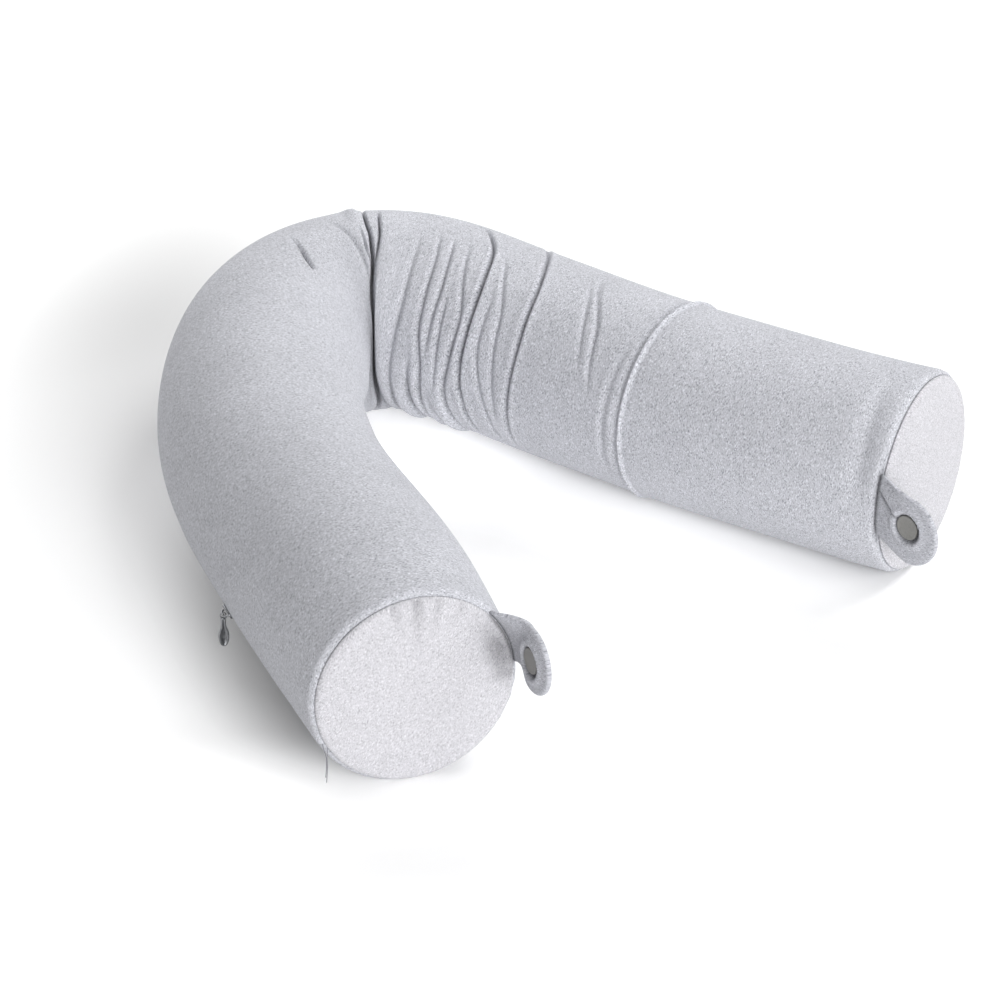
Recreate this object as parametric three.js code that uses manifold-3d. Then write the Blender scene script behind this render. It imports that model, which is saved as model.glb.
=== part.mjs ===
// A bendable travel pillow lying on a table: one long filled jersey roll bent round into a U, a disc sewn
// into each end, a round-ended snap tab in each end seam, and a zip slider with its pull.
// Millimetres, +Z up, resting on z = 0, with the open side of the U toward -Y.
import * as THREE from "three";
import { mergeVertices } from "three/addons/utils/BufferGeometryUtils.js";
import Module from "manifold-3d";

const wasm = await Module();
wasm.setup();

const DEG = Math.PI / 180;
const GAP = 0.3; // between pieces that are sewn or fitted together

// The roll's middle line in plan, from the near end. A turn to the left is positive.
const START = { x: -148.9, y: -139.15, heading: 70.5 };
const STRETCHES = [
  { name: "near arm", length: 153, turn: 2.0 },
  { name: "shoulder", length: 171, turn: -35.6 },
  { name: "bend", length: 102, turn: -118.2 },
  { name: "far arm", length: 266, turn: 11.8 },
];
const TURN_FADE = 30; // half the length over which one stretch eases into the next
const ROLL_LENGTH = STRETCHES.reduce((sum, stretch) => sum + stretch.length, 0);

// The roll's section.
const GIRTH = [
  { along: 0, radius: 47.3 },
  { along: 60, radius: 50.5 },
  { along: 150, radius: 49.9 },
  { along: 250, radius: 50.3 },
  { along: 340, radius: 50.1 },
  { along: 400, radius: 49.4 },
  { along: 460, radius: 48.1 },
  { along: 600, radius: 48.1 },
  { along: 692, radius: 48.8 },
];
const SAG = 2; // how much of the round underside is pressed flat
const RIM_ROUND = 3.5; // rounding of the roll's rim at each end seam
const CROTCH_RADIUS = 5.5; // plan radius left inside the tightest part of the bend
const CROTCH_SOFT = 3; // how softly the inner side flattens there
// The inner side of the bend is pushed back toward the near arm, in full as far as held and not past gone.
const LEAN = { along: 375, shift: 6.5, held: 36, gone: 112 };

// Folds. Each crosses the roll along a path of angle round the roll (0 on top, negative toward the inside
// of the U), place along the middle line, and depth, which is below zero for a ridge. The widths are its
// half widths on the near and far side, and the lips beside it are parts of its depth.
const FOLDS = [
  {
    name: "bulge beyond the valley",
    nearWidth: 3,
    farWidth: 9,
    nearLip: 0,
    farLip: 0,
    path: [
      { angle: -150, along: 404, depth: 0 },
      { angle: -118, along: 404, depth: -2.6 },
      { angle: -90, along: 402, depth: -3.4 },
      { angle: -58, along: 398, depth: -3.4 },
      { angle: -28, along: 392, depth: -2 },
      { angle: 6, along: 388, depth: -0.8 },
      { angle: 24, along: 388, depth: 0 },
    ],
  },
  {
    name: "hollow inside the near arm",
    nearWidth: 14,
    farWidth: 22,
    nearLip: 0,
    farLip: 0,
    path: [
      { angle: -132, along: 262, depth: 0 },
      { angle: -110, along: 262, depth: 6 },
      { angle: -97, along: 254, depth: 5 },
      { angle: -86, along: 238, depth: 4.5 },
      { angle: -76, along: 228, depth: 2.5 },
      { angle: -66, along: 220, depth: 0 },
    ],
  },
  {
    name: "main valley",
    nearWidth: 1.9,
    farWidth: 1.9,
    nearLip: 0,
    farLip: 0.1,
    path: [
      { angle: -158, along: 372, depth: 0 },
      { angle: -125, along: 376, depth: 2 },
      { angle: -95, along: 381, depth: 3 },
      { angle: -60, along: 383.5, depth: 3.4 },
      { angle: -34, along: 383, depth: 3.4 },
      { angle: -22, along: 379.5, depth: 3.4 },
      { angle: -2, along: 378.8, depth: 3.2 },
      { angle: 14, along: 380, depth: 2.6 },
      { angle: 28, along: 381, depth: 1.6 },
      { angle: 44, along: 381, depth: 0 },
    ],
  },
  {
    name: "lip over the valley",
    nearWidth: 7,
    farWidth: 2.6,
    nearLip: 0,
    farLip: 0,
    path: [
      { angle: -48, along: 374, depth: 0 },
      { angle: -20, along: 373, depth: -0.8 },
      { angle: 8, along: 375.5, depth: -1.4 },
      { angle: 30, along: 377.5, depth: -1.6 },
      { angle: 46, along: 378, depth: -1.4 },
      { angle: 68, along: 378, depth: 0 },
    ],
  },
  {
    name: "valley branch toward the far arm",
    nearWidth: 1.9,
    farWidth: 1.9,
    nearLip: 0.1,
    farLip: 0.2,
    path: [
      { angle: -42, along: 384, depth: 0 },
      { angle: -33, along: 385.3, depth: 0.9 },
      { angle: -19, along: 385, depth: 1.4 },
      { angle: 3, along: 385.6, depth: 1.3 },
      { angle: 15, along: 386, depth: 0 },
    ],
  },
  {
    name: "valley branch toward the near arm",
    nearWidth: 2.2,
    farWidth: 2.2,
    nearLip: 0.1,
    farLip: 0,
    path: [
      { angle: -48, along: 380.5, depth: 0 },
      { angle: -39, along: 376, depth: 1 },
      { angle: -24, along: 368.4, depth: 1.3 },
      { angle: -13, along: 365.4, depth: 1.3 },
      { angle: 1, along: 363, depth: 0.8 },
      { angle: 12, along: 361, depth: 0 },
    ],
  },
  {
    name: "dimple behind the lip",
    nearWidth: 3.1,
    farWidth: 3.1,
    nearLip: 0,
    farLip: 0,
    path: [
      { angle: -2, along: 370, depth: 0 },
      { angle: 6, along: 370.8, depth: 0.8 },
      { angle: 20, along: 372.4, depth: 1 },
      { angle: 32, along: 373.6, depth: 0 },
    ],
  },
  {
    name: "low branch of the valley",
    nearWidth: 2,
    farWidth: 2,
    nearLip: 0.1,
    farLip: 0.2,
    path: [
      { angle: -160, along: 392, depth: 0 },
      { angle: -146, along: 392, depth: 1.6 },
      { angle: -125, along: 391, depth: 2.2 },
      { angle: -105, along: 387, depth: 1.8 },
      { angle: -84, along: 384, depth: 0 },
    ],
  },
  {
    name: "short dimple on the shoulder",
    nearWidth: 2,
    farWidth: 2,
    nearLip: 0.1,
    farLip: 0.1,
    path: [
      { angle: -23, along: 316, depth: 0 },
      { angle: -19, along: 319, depth: 2.6 },
      { angle: -8, along: 328, depth: 2.4 },
      { angle: 4.5, along: 339, depth: 1 },
      { angle: 11, along: 344.5, depth: 0 },
    ],
  },
  {
    name: "far arm fold 1",
    nearWidth: 2.1,
    farWidth: 2.5,
    nearLip: 0.1,
    farLip: 0.15,
    path: [
      { angle: -163, along: 409, depth: 0 },
      { angle: -148, along: 410, depth: 2.2 },
      { angle: -127, along: 414, depth: 2 },
      { angle: -96, along: 423, depth: 1.3 },
      { angle: -73, along: 429, depth: 1.2 },
      { angle: -50, along: 426, depth: 1 },
      { angle: -20, along: 412.5, depth: 0.5 },
      { angle: -8, along: 408, depth: 0 },
    ],
  },
  {
    name: "far arm low fold",
    nearWidth: 2.1,
    farWidth: 2.1,
    nearLip: 0.2,
    farLip: 0.15,
    path: [
      { angle: -163, along: 421, depth: 0 },
      { angle: -148, along: 422, depth: 2.4 },
      { angle: -127, along: 426, depth: 1.8 },
      { angle: -104, along: 433, depth: 1.2 },
      { angle: -89, along: 437, depth: 0.8 },
      { angle: -78, along: 438, depth: 0 },
    ],
  },
  {
    name: "far arm fold 2",
    nearWidth: 1.9,
    farWidth: 2.1,
    nearLip: 0.1,
    farLip: 0.2,
    path: [
      { angle: -160, along: 434, depth: 0 },
      { angle: -146, along: 435, depth: 1.6 },
      { angle: -116, along: 439.5, depth: 1.5 },
      { angle: -78, along: 444, depth: 1.4 },
      { angle: -50, along: 439.5, depth: 1.2 },
      { angle: -15, along: 424.5, depth: 0.7 },
      { angle: -4, along: 420, depth: 0 },
    ],
  },
  {
    name: "far arm fold 3",
    nearWidth: 1.9,
    farWidth: 2,
    nearLip: 0.1,
    farLip: 0.2,
    path: [
      { angle: -84, along: 449, depth: 0 },
      { angle: -66, along: 448.5, depth: 0.8 },
      { angle: -40, along: 444.8, depth: 1.1 },
      { angle: -15, along: 433.5, depth: 0.8 },
      { angle: -6, along: 429, depth: 0 },
    ],
  },
  {
    name: "far arm short fold",
    nearWidth: 1.9,
    farWidth: 1.9,
    nearLip: 0.1,
    farLip: 0.2,
    path: [
      { angle: -106, along: 453, depth: 0 },
      { angle: -78, along: 453.8, depth: 0.9 },
      { angle: -52, along: 451.5, depth: 0.8 },
      { angle: -42, along: 449.5, depth: 0 },
    ],
  },
  {
    name: "far arm fold 4",
    nearWidth: 2.1,
    farWidth: 2.2,
    nearLip: 0.1,
    farLip: 0.2,
    path: [
      { angle: -163, along: 455, depth: 0 },
      { angle: -148, along: 456, depth: 2 },
      { angle: -103, along: 459, depth: 1.6 },
      { angle: -75, along: 462.8, depth: 1.5 },
      { angle: -48, along: 460.5, depth: 1.1 },
      { angle: -15, along: 443.2, depth: 0.6 },
      { angle: -4, along: 438, depth: 0 },
    ],
  },
  {
    name: "far arm fold 5",
    nearWidth: 2,
    farWidth: 2.1,
    nearLip: 0.2,
    farLip: 0.3,
    path: [
      { angle: -160, along: 471, depth: 0 },
      { angle: -130, along: 470, depth: 1.2 },
      { angle: -101, along: 469.5, depth: 1.5 },
      { angle: -91, along: 468.8, depth: 1.8 },
      { angle: -53, along: 467.2, depth: 2.1 },
      { angle: -30, along: 462.8, depth: 2.1 },
      { angle: -3, along: 450.8, depth: 1.7 },
      { angle: 17, along: 435.8, depth: 1.2 },
      { angle: 28, along: 427, depth: 0 },
    ],
  },
  {
    name: "far arm fold 6",
    nearWidth: 2,
    farWidth: 2.1,
    nearLip: 0.1,
    farLip: 0.2,
    path: [
      { angle: -142, along: 484, depth: 0 },
      { angle: -107, along: 480.8, depth: 1 },
      { angle: -67, along: 474, depth: 1.1 },
      { angle: -40, along: 471.8, depth: 0.7 },
      { angle: -28, along: 469, depth: 0 },
    ],
  },
  {
    name: "far arm fold 7",
    nearWidth: 2.1,
    farWidth: 2.3,
    nearLip: 0.1,
    farLip: 0.2,
    path: [
      { angle: -112, along: 488, depth: 0 },
      { angle: -90, along: 487, depth: 0.8 },
      { angle: -64, along: 484.5, depth: 1.1 },
      { angle: -40, along: 479.2, depth: 1.1 },
      { angle: -15, along: 466.5, depth: 0.7 },
      { angle: -4, along: 460, depth: 0 },
    ],
  },
  {
    name: "far arm fold 8",
    nearWidth: 2.2,
    farWidth: 2.1,
    nearLip: 0.1,
    farLip: 0.4,
    path: [
      { angle: -138, along: 493, depth: 0 },
      { angle: -104, along: 495, depth: 1.2 },
      { angle: -70, along: 498, depth: 1.7 },
      { angle: -49, along: 497.2, depth: 2 },
      { angle: -19, along: 490.5, depth: 2 },
      { angle: 11, along: 476, depth: 1.6 },
      { angle: 31, along: 462.8, depth: 1 },
      { angle: 42, along: 456, depth: 0 },
    ],
  },
  {
    name: "far arm fold 9, near trough",
    nearWidth: 2.1,
    farWidth: 1.9,
    nearLip: 0.1,
    farLip: 0.2,
    path: [
      { angle: -62, along: 531, depth: 0 },
      { angle: -45, along: 527, depth: 0.7 },
      { angle: -16, along: 517, depth: 0.9 },
      { angle: 4, along: 508, depth: 0 },
    ],
  },
  {
    name: "far arm fold 9, far trough",
    nearWidth: 1.9,
    farWidth: 2.3,
    nearLip: 0.2,
    farLip: 0.2,
    path: [
      { angle: -74, along: 540, depth: 0 },
      { angle: -54, along: 535.5, depth: 0.8 },
      { angle: -30, along: 529.5, depth: 1.1 },
      { angle: -2, along: 515, depth: 1 },
      { angle: 9, along: 510.5, depth: 0 },
    ],
  },
  {
    name: "trough before the ring ridge",
    nearWidth: 1.6,
    farWidth: 1.6,
    nearLip: 0.2,
    farLip: 0,
    path: [
      { angle: -160, along: 556.4, depth: 0 },
      { angle: -140, along: 556.4, depth: 0.7 },
      { angle: 130, along: 556.4, depth: 0.7 },
      { angle: 158, along: 556.4, depth: 0 },
    ],
  },
  {
    name: "ring ridge",
    nearWidth: 1.6,
    farWidth: 1.6,
    nearLip: 0,
    farLip: 0.1,
    path: [
      { angle: -162, along: 559, depth: 0 },
      { angle: -146, along: 559, depth: -1 },
      { angle: 130, along: 559, depth: -1 },
      { angle: 158, along: 559, depth: 0 },
    ],
  },
  {
    name: "second trough beside the ring ridge",
    nearWidth: 1.6,
    farWidth: 1.6,
    nearLip: 0.3,
    farLip: 0.3,
    path: [
      { angle: -124, along: 549.5, depth: 0 },
      { angle: -95, along: 549, depth: 1 },
      { angle: -50, along: 550, depth: 0.8 },
      { angle: -26, along: 552, depth: 0 },
    ],
  },
  {
    name: "dent at the far seam",
    nearWidth: 5,
    farWidth: 5,
    nearLip: 0.05,
    farLip: 0,
    path: [
      { angle: -92, along: 681, depth: 0 },
      { angle: -62, along: 680, depth: 1.8 },
      { angle: -24, along: 678, depth: 1.6 },
      { angle: -4, along: 677, depth: 0 },
    ],
  },
  {
    name: "pucker by the zip slider",
    nearWidth: 4,
    farWidth: 4,
    nearLip: 0.3,
    farLip: 0.3,
    path: [
      { angle: 62, along: 90, depth: 0 },
      { angle: 78, along: 106, depth: 0.9 },
      { angle: 95, along: 123, depth: 0.9 },
      { angle: 104, along: 130, depth: 0 },
    ],
  },
];
const LIP_PLACE = 1.7; // in fold widths from the bottom of the fold

// Sections are closer together where the folds are.
const ROW_BANDS = [
  { from: RIM_ROUND, to: 300, steps: 22 },
  { from: 300, to: 356, steps: 13 },
  { from: 356, to: 394, steps: 20 },
  { from: 394, to: 504, steps: 42 },
  { from: 504, to: 545, steps: 13 },
  { from: 545, to: 554, steps: 5 },
  { from: 554, to: 563, steps: 8 },
  { from: 563, to: 660, steps: 8 },
  { from: 660, to: ROLL_LENGTH - RIM_ROUND, steps: 6 },
];
const ANGLE_BANDS = [
  { from: 0, to: 40, steps: 4 },
  { from: 40, to: 164, steps: 8 },
  { from: 164, to: 196, steps: 2 },
  { from: 196, to: 230, steps: 3 },
  { from: 230, to: 360, steps: 14 },
];

// The end discs.
const DISC_INSET = 2.2; // the disc's rim lies this far inside the roll's
const DISC_CROWN = 4.6;
const DISC_RIM = 1.9; // thickness of the rolled seam edge
const DISC_SIDES = 40;

// The snap tabs. The root's angle on the end seam is from the top toward the inside of the U.
// The middle of the tab's round end lies out, inward and up from the root, and the snap the lift above it.
// The tab leaves its seam with the flare and ends upright with the splay, both in degrees.
const TAB_ROOT_WIDTH = 30;
const TAB_ROOT_THICK = 1.4;
const TAB_THICK = 3.4;
const TAB_EDGE_THICK = 1.4;
const TAB_ROOT_INSET = 1.2; // from the roll's rim to the middle of the tab's thickness
const TAB_ROOT_SUNK = 0.3; // how far the root lies behind the plane of the roll's end
const TABS = [
  {
    name: "near",
    rootAngle: 67,
    flare: 34,
    splay: 6,
    round: 15.5,
    snapAt: { out: 21.8, inward: 3.8, up: -1.6 },
    snapLift: 0,
    snapSide: -1,
  },
  {
    name: "far",
    rootAngle: 83,
    flare: 20,
    splay: 16,
    round: 17,
    snapAt: { out: 18.9, inward: 6.6, up: -4.6 },
    snapLift: 2,
    snapSide: 1,
  },
];
const SNAP_RADIUS = 6;
const SNAP_THICK = 1.2;
const SNAP_RECESS = 1.5;
const SNAP_PLAY = 0.4;

// The zip slider and its pull.
const ZIP_ANGLE = 116;
const SLIDER_ALONG = 119.6;
const SLIDER = { length: 9, wide: 5, narrow: 3.4, thick: 1.2 };
const BRIDGE = { wire: 0.5, halfSpan: 2.9, height: 3.4 };
const PULL = {
  eye: 1.0,
  ring: 1.6,
  neck: 1.1,
  neckDrop: 4.2,
  leaf: 2.5,
  leafDrop: 11,
  drop: 16.2,
  thick: 1.4,
};

const COVER_GREY = { color: 0xc9cbd0, roughness: 0.95, metalness: 0 };
const DISC_GREY = { color: 0xd9dade, roughness: 0.95, metalness: 0 };
const SNAP_GREY = { color: 0x87847d, roughness: 0.45, metalness: 0.2 };
const ZIP_METAL = { color: 0x5c5f63, roughness: 0.35, metalness: 0.9 };

function ease(t) {
  const held = Math.min(1, Math.max(0, t));
  return held * held * (3 - 2 * held);
}

// Smooth value of one column of a table at x, with the rows in order of the key column.
function tableAt(rows, key, column, x) {
  if (x <= rows[0][key]) return rows[0][column];
  const last = rows.length - 1;
  if (x >= rows[last][key]) return rows[last][column];
  let i = 0;
  while (rows[i + 1][key] < x) i += 1;
  const before = rows[Math.max(0, i - 1)];
  const after = rows[Math.min(last, i + 2)];
  const span = rows[i + 1][key] - rows[i][key];
  const startSlope = (rows[i + 1][column] - before[column]) / (rows[i + 1][key] - before[key]);
  const endSlope = (after[column] - rows[i][column]) / (after[key] - rows[i][key]);
  const t = (x - rows[i][key]) / span;
  const t2 = t * t;
  const t3 = t2 * t;
  return (
    rows[i][column] * (2 * t3 - 3 * t2 + 1) +
    startSlope * span * (t3 - 2 * t2 + t) +
    rows[i + 1][column] * (3 * t2 - 2 * t3) +
    endSlope * span * (t3 - t2)
  );
}

// Turn so far along the roll, in degrees, with sharp changes between stretches.
function sharpTurn(along) {
  let done = 0;
  let turn = 0;
  for (const [i, stretch] of STRETCHES.entries()) {
    const isLast = i === STRETCHES.length - 1;
    const inside = isLast ? along - done : Math.min(along - done, stretch.length);
    turn += (stretch.turn * inside) / stretch.length;
    done += stretch.length;
    if (along <= done) break;
  }
  return turn;
}

function headingAt(along) {
  const samples = 13;
  let sum = 0;
  for (let i = 0; i < samples; i += 1) {
    sum += sharpTurn(along + TURN_FADE * ((2 * i) / (samples - 1) - 1));
  }
  return (START.heading + sum / samples) * DEG;
}

const MIDDLE_STEP = 0.5;
const middleLine = [{ x: START.x, y: START.y }];
for (let along = 0; along < ROLL_LENGTH; along += MIDDLE_STEP) {
  const heading = headingAt(along + MIDDLE_STEP / 2);
  const last = middleLine[middleLine.length - 1];
  middleLine.push({
    x: last.x + MIDDLE_STEP * Math.cos(heading),
    y: last.y + MIDDLE_STEP * Math.sin(heading),
  });
}

function middleAt(along) {
  const place = Math.min(along / MIDDLE_STEP, middleLine.length - 1.001);
  const i = Math.floor(place);
  const part = place - i;
  const a = middleLine[i];
  const b = middleLine[i + 1];
  return { x: a.x + (b.x - a.x) * part, y: a.y + (b.y - a.y) * part };
}

function radiusAt(along) {
  return tableAt(GIRTH, "along", "radius", along);
}

function bendAt(along) {
  return (headingAt(along + 1) - headingAt(along - 1)) / 2;
}

// Height of the folds at a place on the roll, below zero in a trough.
function foldHeight(along, angle, bend) {
  const degrees = angle / DEG;
  const surfaceScale = Math.max(0.15, 1 - bend * radiusAt(along) * Math.sin(angle));
  let height = 0;
  for (const fold of FOLDS) {
    const depth = tableAt(fold.path, "angle", "depth", degrees);
    if (depth === 0) continue;
    const place = tableAt(fold.path, "angle", "along", degrees);
    const width = along < place ? fold.nearWidth : fold.farWidth;
    const off = ((along - place) * surfaceScale) / width;
    height -= depth * Math.exp(-off * off);
    height += depth * fold.nearLip * Math.exp(-((off + LIP_PLACE) ** 2));
    height += depth * fold.farLip * Math.exp(-((off - LIP_PLACE) ** 2));
  }
  return height;
}

// How far the inner side of the bend is pushed back toward the near arm.
const LEAN_HEADING = headingAt(LEAN.along);

function leanAt(along, angle) {
  const fromBend = Math.abs(along - LEAN.along);
  const lengthwise = 1 - ease((fromBend - LEAN.held) / (LEAN.gone - LEAN.held));
  const inner = ease((-Math.sin(angle) - 0.15) / 0.7);
  const low = ease((-angle / DEG - 95) / 50);
  return LEAN.shift * lengthwise * inner * (1 - low);
}

function rimInset(along) {
  const fromEnd = Math.min(along, ROLL_LENGTH - along);
  if (fromEnd >= RIM_ROUND) return 0;
  return RIM_ROUND - Math.sqrt(RIM_ROUND ** 2 - (RIM_ROUND - fromEnd) ** 2);
}

// A point of the roll's surface. The angle is 0 on top and positive toward the left of the heading.
function rollPoint(along, angle) {
  const bend = bendAt(along);
  const heading = headingAt(along);
  const middle = middleAt(along);
  const radius = radiusAt(along);
  const reach = radius + foldHeight(along, angle, bend) - rimInset(along);
  const innerLimit = 1 / Math.max(1e-4, -bend) - CROTCH_RADIUS;
  let side = reach * Math.sin(angle);
  if (-side > innerLimit - 8 * CROTCH_SOFT) {
    const spare = (innerLimit + side) / CROTCH_SOFT;
    side = CROTCH_SOFT * Math.log(1 + Math.exp(spare)) - innerLimit;
  }
  const lean = leanAt(along, angle);
  return new THREE.Vector3(
    middle.x - side * Math.sin(heading) - lean * Math.cos(LEAN_HEADING),
    middle.y + side * Math.cos(heading) - lean * Math.sin(LEAN_HEADING),
    Math.max(0, radius - SAG + reach * Math.cos(angle)),
  );
}

function bandValues(bands) {
  const values = [bands[0].from];
  for (const band of bands) {
    for (let i = 1; i <= band.steps; i += 1) {
      values.push(band.from + ((band.to - band.from) * i) / band.steps);
    }
  }
  return values;
}

function bare(geometry) {
  geometry.deleteAttribute("normal");
  geometry.deleteAttribute("uv");
  return mergeVertices(geometry, 1e-4);
}

function moved(geometry, place) {
  const points = geometry.getAttribute("position");
  const from = new THREE.Vector3();
  for (let i = 0; i < points.count; i += 1) {
    from.fromBufferAttribute(points, i);
    const to = place(from);
    points.setXYZ(i, to.x, to.y, to.z);
  }
  geometry.computeVertexNormals();
  return geometry;
}

function coverRoll() {
  const rounding = [0, 0.1, 0.36].map((part) => part * RIM_ROUND);
  const rows = [...rounding, ...bandValues(ROW_BANDS), ...rounding.map((s) => ROLL_LENGTH - s).reverse()];
  const angles = bandValues(ANGLE_BANDS).map((degrees) => (degrees > 180 ? degrees - 360 : degrees) * DEG);
  const sides = angles.length - 1;
  const steps = rows.length - 1;
  const geometry = bare(new THREE.CylinderGeometry(1, 1, 1, sides, steps));
  return moved(geometry, (from) => {
    const row = Math.round((0.5 - from.y) * steps);
    const along = rows[row];
    if (Math.hypot(from.x, from.z) < 0.5) {
      const middle = middleAt(along);
      return new THREE.Vector3(middle.x, middle.y, radiusAt(along) - SAG);
    }
    const turn = Math.atan2(from.x, from.z) / (2 * Math.PI);
    const column = (Math.round(turn * sides) + sides) % sides;
    return rollPoint(along, angles[column]);
  });
}

// Where one end of the roll faces: outward, toward the inside of the U, and up, from the middle of its face.
function endFrame(isNear) {
  const along = isNear ? 0 : ROLL_LENGTH;
  const heading = headingAt(along);
  const forward = new THREE.Vector3(Math.cos(heading), Math.sin(heading), 0);
  const middle = middleAt(along);
  const radius = radiusAt(along);
  return {
    radius,
    middle: new THREE.Vector3(middle.x, middle.y, radius - SAG),
    out: forward.clone().multiplyScalar(isNear ? -1 : 1),
    inward: new THREE.Vector3(forward.y, -forward.x, 0),
    up: new THREE.Vector3(0, 0, 1),
  };
}

function endDisc(frame) {
  const rim = frame.radius - DISC_INSET;
  const profile = [
    [0, GAP],
    [rim - 0.8, GAP],
    [rim, GAP + 0.8],
    [rim - 0.5, GAP + DISC_RIM - 0.4],
    [rim - 1.6, GAP + DISC_RIM],
    [rim - 4.5, GAP + DISC_RIM + 0.2],
    [rim * 0.75, GAP + DISC_CROWN * 0.72],
    [rim * 0.5, GAP + DISC_CROWN * 0.9],
    [rim * 0.25, GAP + DISC_CROWN * 0.98],
    [0, GAP + DISC_CROWN],
  ].map(([radius, out]) => new THREE.Vector2(radius, out));
  return bare(new THREE.LatheGeometry(profile, DISC_SIDES));
}

// The middle surface of a tab: from the end seam it eases into a flat upright round around its snap.
function tabSurface(frame, tab) {
  const rimRadius = frame.radius - TAB_ROOT_INSET;
  const rimPoint = (across) => {
    const angle = tab.rootAngle * DEG - across / rimRadius;
    return frame.middle
      .clone()
      .addScaledVector(frame.inward, rimRadius * Math.sin(angle))
      .addScaledVector(frame.up, rimRadius * Math.cos(angle))
      .addScaledVector(frame.out, -TAB_ROOT_SUNK);
  };
  const root = rimPoint(0);
  const snap = root
    .clone()
    .addScaledVector(frame.out, tab.snapAt.out)
    .addScaledVector(frame.inward, tab.snapAt.inward)
    .addScaledVector(frame.up, tab.snapAt.up);
  const onward = frame.out
    .clone()
    .multiplyScalar(Math.cos(tab.splay * DEG))
    .addScaledVector(frame.inward, Math.sin(tab.splay * DEG));
  const acrossSnap = new THREE.Vector3().crossVectors(onward, frame.up).normalize();
  const reach = root.distanceTo(snap);
  const away = rimPoint(0).sub(frame.middle).projectOnPlane(frame.out).normalize();
  const leaving = snap.clone().sub(root).normalize();
  leaving.addScaledVector(away, Math.tan(tab.flare * DEG) - leaving.dot(away)).normalize();
  const arriving = snap.clone().sub(root).projectOnPlane(acrossSnap).normalize();
  const spine = new THREE.CubicBezierCurve3(
    root,
    root.clone().addScaledVector(leaving, reach * 0.4),
    snap.clone().addScaledVector(arriving, -reach * 0.3),
    snap,
  );
  const pointAt = (outward, across) => {
    const part = Math.min(1, outward / reach);
    const middle = spine.getPoint(part).addScaledVector(onward, Math.max(0, outward - reach));
    const rooted = rimPoint(across).add(middle).sub(root);
    const flat = middle.clone().addScaledVector(frame.up, across);
    return rooted.lerp(flat, ease(part * 1.2));
  };
  return { reach, snap, onward, pointAt };
}

const TAB_ROWS = [0, 0.14, 0.32, 0.5, 0.7, 0.86, 1]; // parts of the way from the root to the snap
const TAB_ROUND_ROWS = [18, 36, 53, 67, 78, 85]; // degrees round the end, past the snap
const TAB_COLUMNS = [-1, -0.93, -0.8, -0.55, -0.28, 0, 0.28, 0.55, 0.8, 0.93, 1];

function tabSolid(surface, tab) {
  const rows = [
    ...TAB_ROWS.map((part) => ({
      outward: part * surface.reach,
      half: TAB_ROOT_WIDTH / 2 + (tab.round - TAB_ROOT_WIDTH / 2) * ease(part),
      edge: 1,
    })),
    ...TAB_ROUND_ROWS.map((degrees) => ({
      outward: surface.reach + tab.round * Math.sin(degrees * DEG),
      half: tab.round * Math.cos(degrees * DEG),
      edge: Math.sqrt(Math.max(0, 1 - Math.sin(degrees * DEG) ** 12)),
    })),
  ];
  const steps = rows.length - 1;
  const columns = TAB_COLUMNS.length - 1;
  const geometry = bare(new THREE.BoxGeometry(1, 1, 1, columns, steps, 1));
  return moved(geometry, (from) => {
    const row = rows[Math.round((from.y + 0.5) * steps)];
    const share = TAB_COLUMNS[Math.round((from.x + 0.5) * columns)];
    const across = share * row.half;
    const point = surface.pointAt(row.outward, across);
    const left = surface.pointAt(row.outward, across - 0.5);
    const right = surface.pointAt(row.outward, across + 0.5);
    const behind = surface.pointAt(Math.max(0, row.outward - 0.5), across);
    const ahead = surface.pointAt(row.outward + 0.5, across);
    const normal = right.sub(left).cross(ahead.sub(behind)).normalize();
    const grown = ease(row.outward / 9);
    const middleThick = TAB_ROOT_THICK + (TAB_THICK - TAB_ROOT_THICK) * grown;
    const edgeThick = TAB_ROOT_THICK + (TAB_EDGE_THICK - TAB_ROOT_THICK) * grown;
    const fullness = row.edge * Math.sqrt(Math.max(0, 1 - share ** 8));
    const thick = edgeThick + (middleThick - edgeThick) * fullness;
    return point.addScaledVector(normal, Math.sign(from.z) * thick * 0.5);
  });
}

function solidOf(geometry) {
  const merged = mergeVertices(geometry, 1e-4);
  return new wasm.Manifold(
    new wasm.Mesh({
      numProp: 3,
      vertProperties: merged.getAttribute("position").array,
      triVerts: new Uint32Array(merged.index.array),
    }),
  );
}

function geometryOf(solid) {
  const mesh = solid.getMesh();
  const geometry = new THREE.BufferGeometry();
  geometry.setAttribute("position", new THREE.BufferAttribute(new Float32Array(mesh.vertProperties), 3));
  geometry.setIndex(new THREE.BufferAttribute(new Uint32Array(mesh.triVerts), 1));
  geometry.computeVertexNormals();
  return geometry;
}

// Turns a shape whose axis is +Y so that the axis points along a given way, and puts it at a point.
function standAt(point, way) {
  const turn = new THREE.Quaternion().setFromUnitVectors(new THREE.Vector3(0, 1, 0), way);
  return new THREE.Matrix4().compose(point, turn, new THREE.Vector3(1, 1, 1));
}

function addPiece(group, name, geometry, look, matrix) {
  const mesh = new THREE.Mesh(geometry, new THREE.MeshStandardMaterial(look));
  mesh.name = name;
  if (matrix) mesh.applyMatrix4(matrix);
  group.add(mesh);
  return mesh;
}

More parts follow.
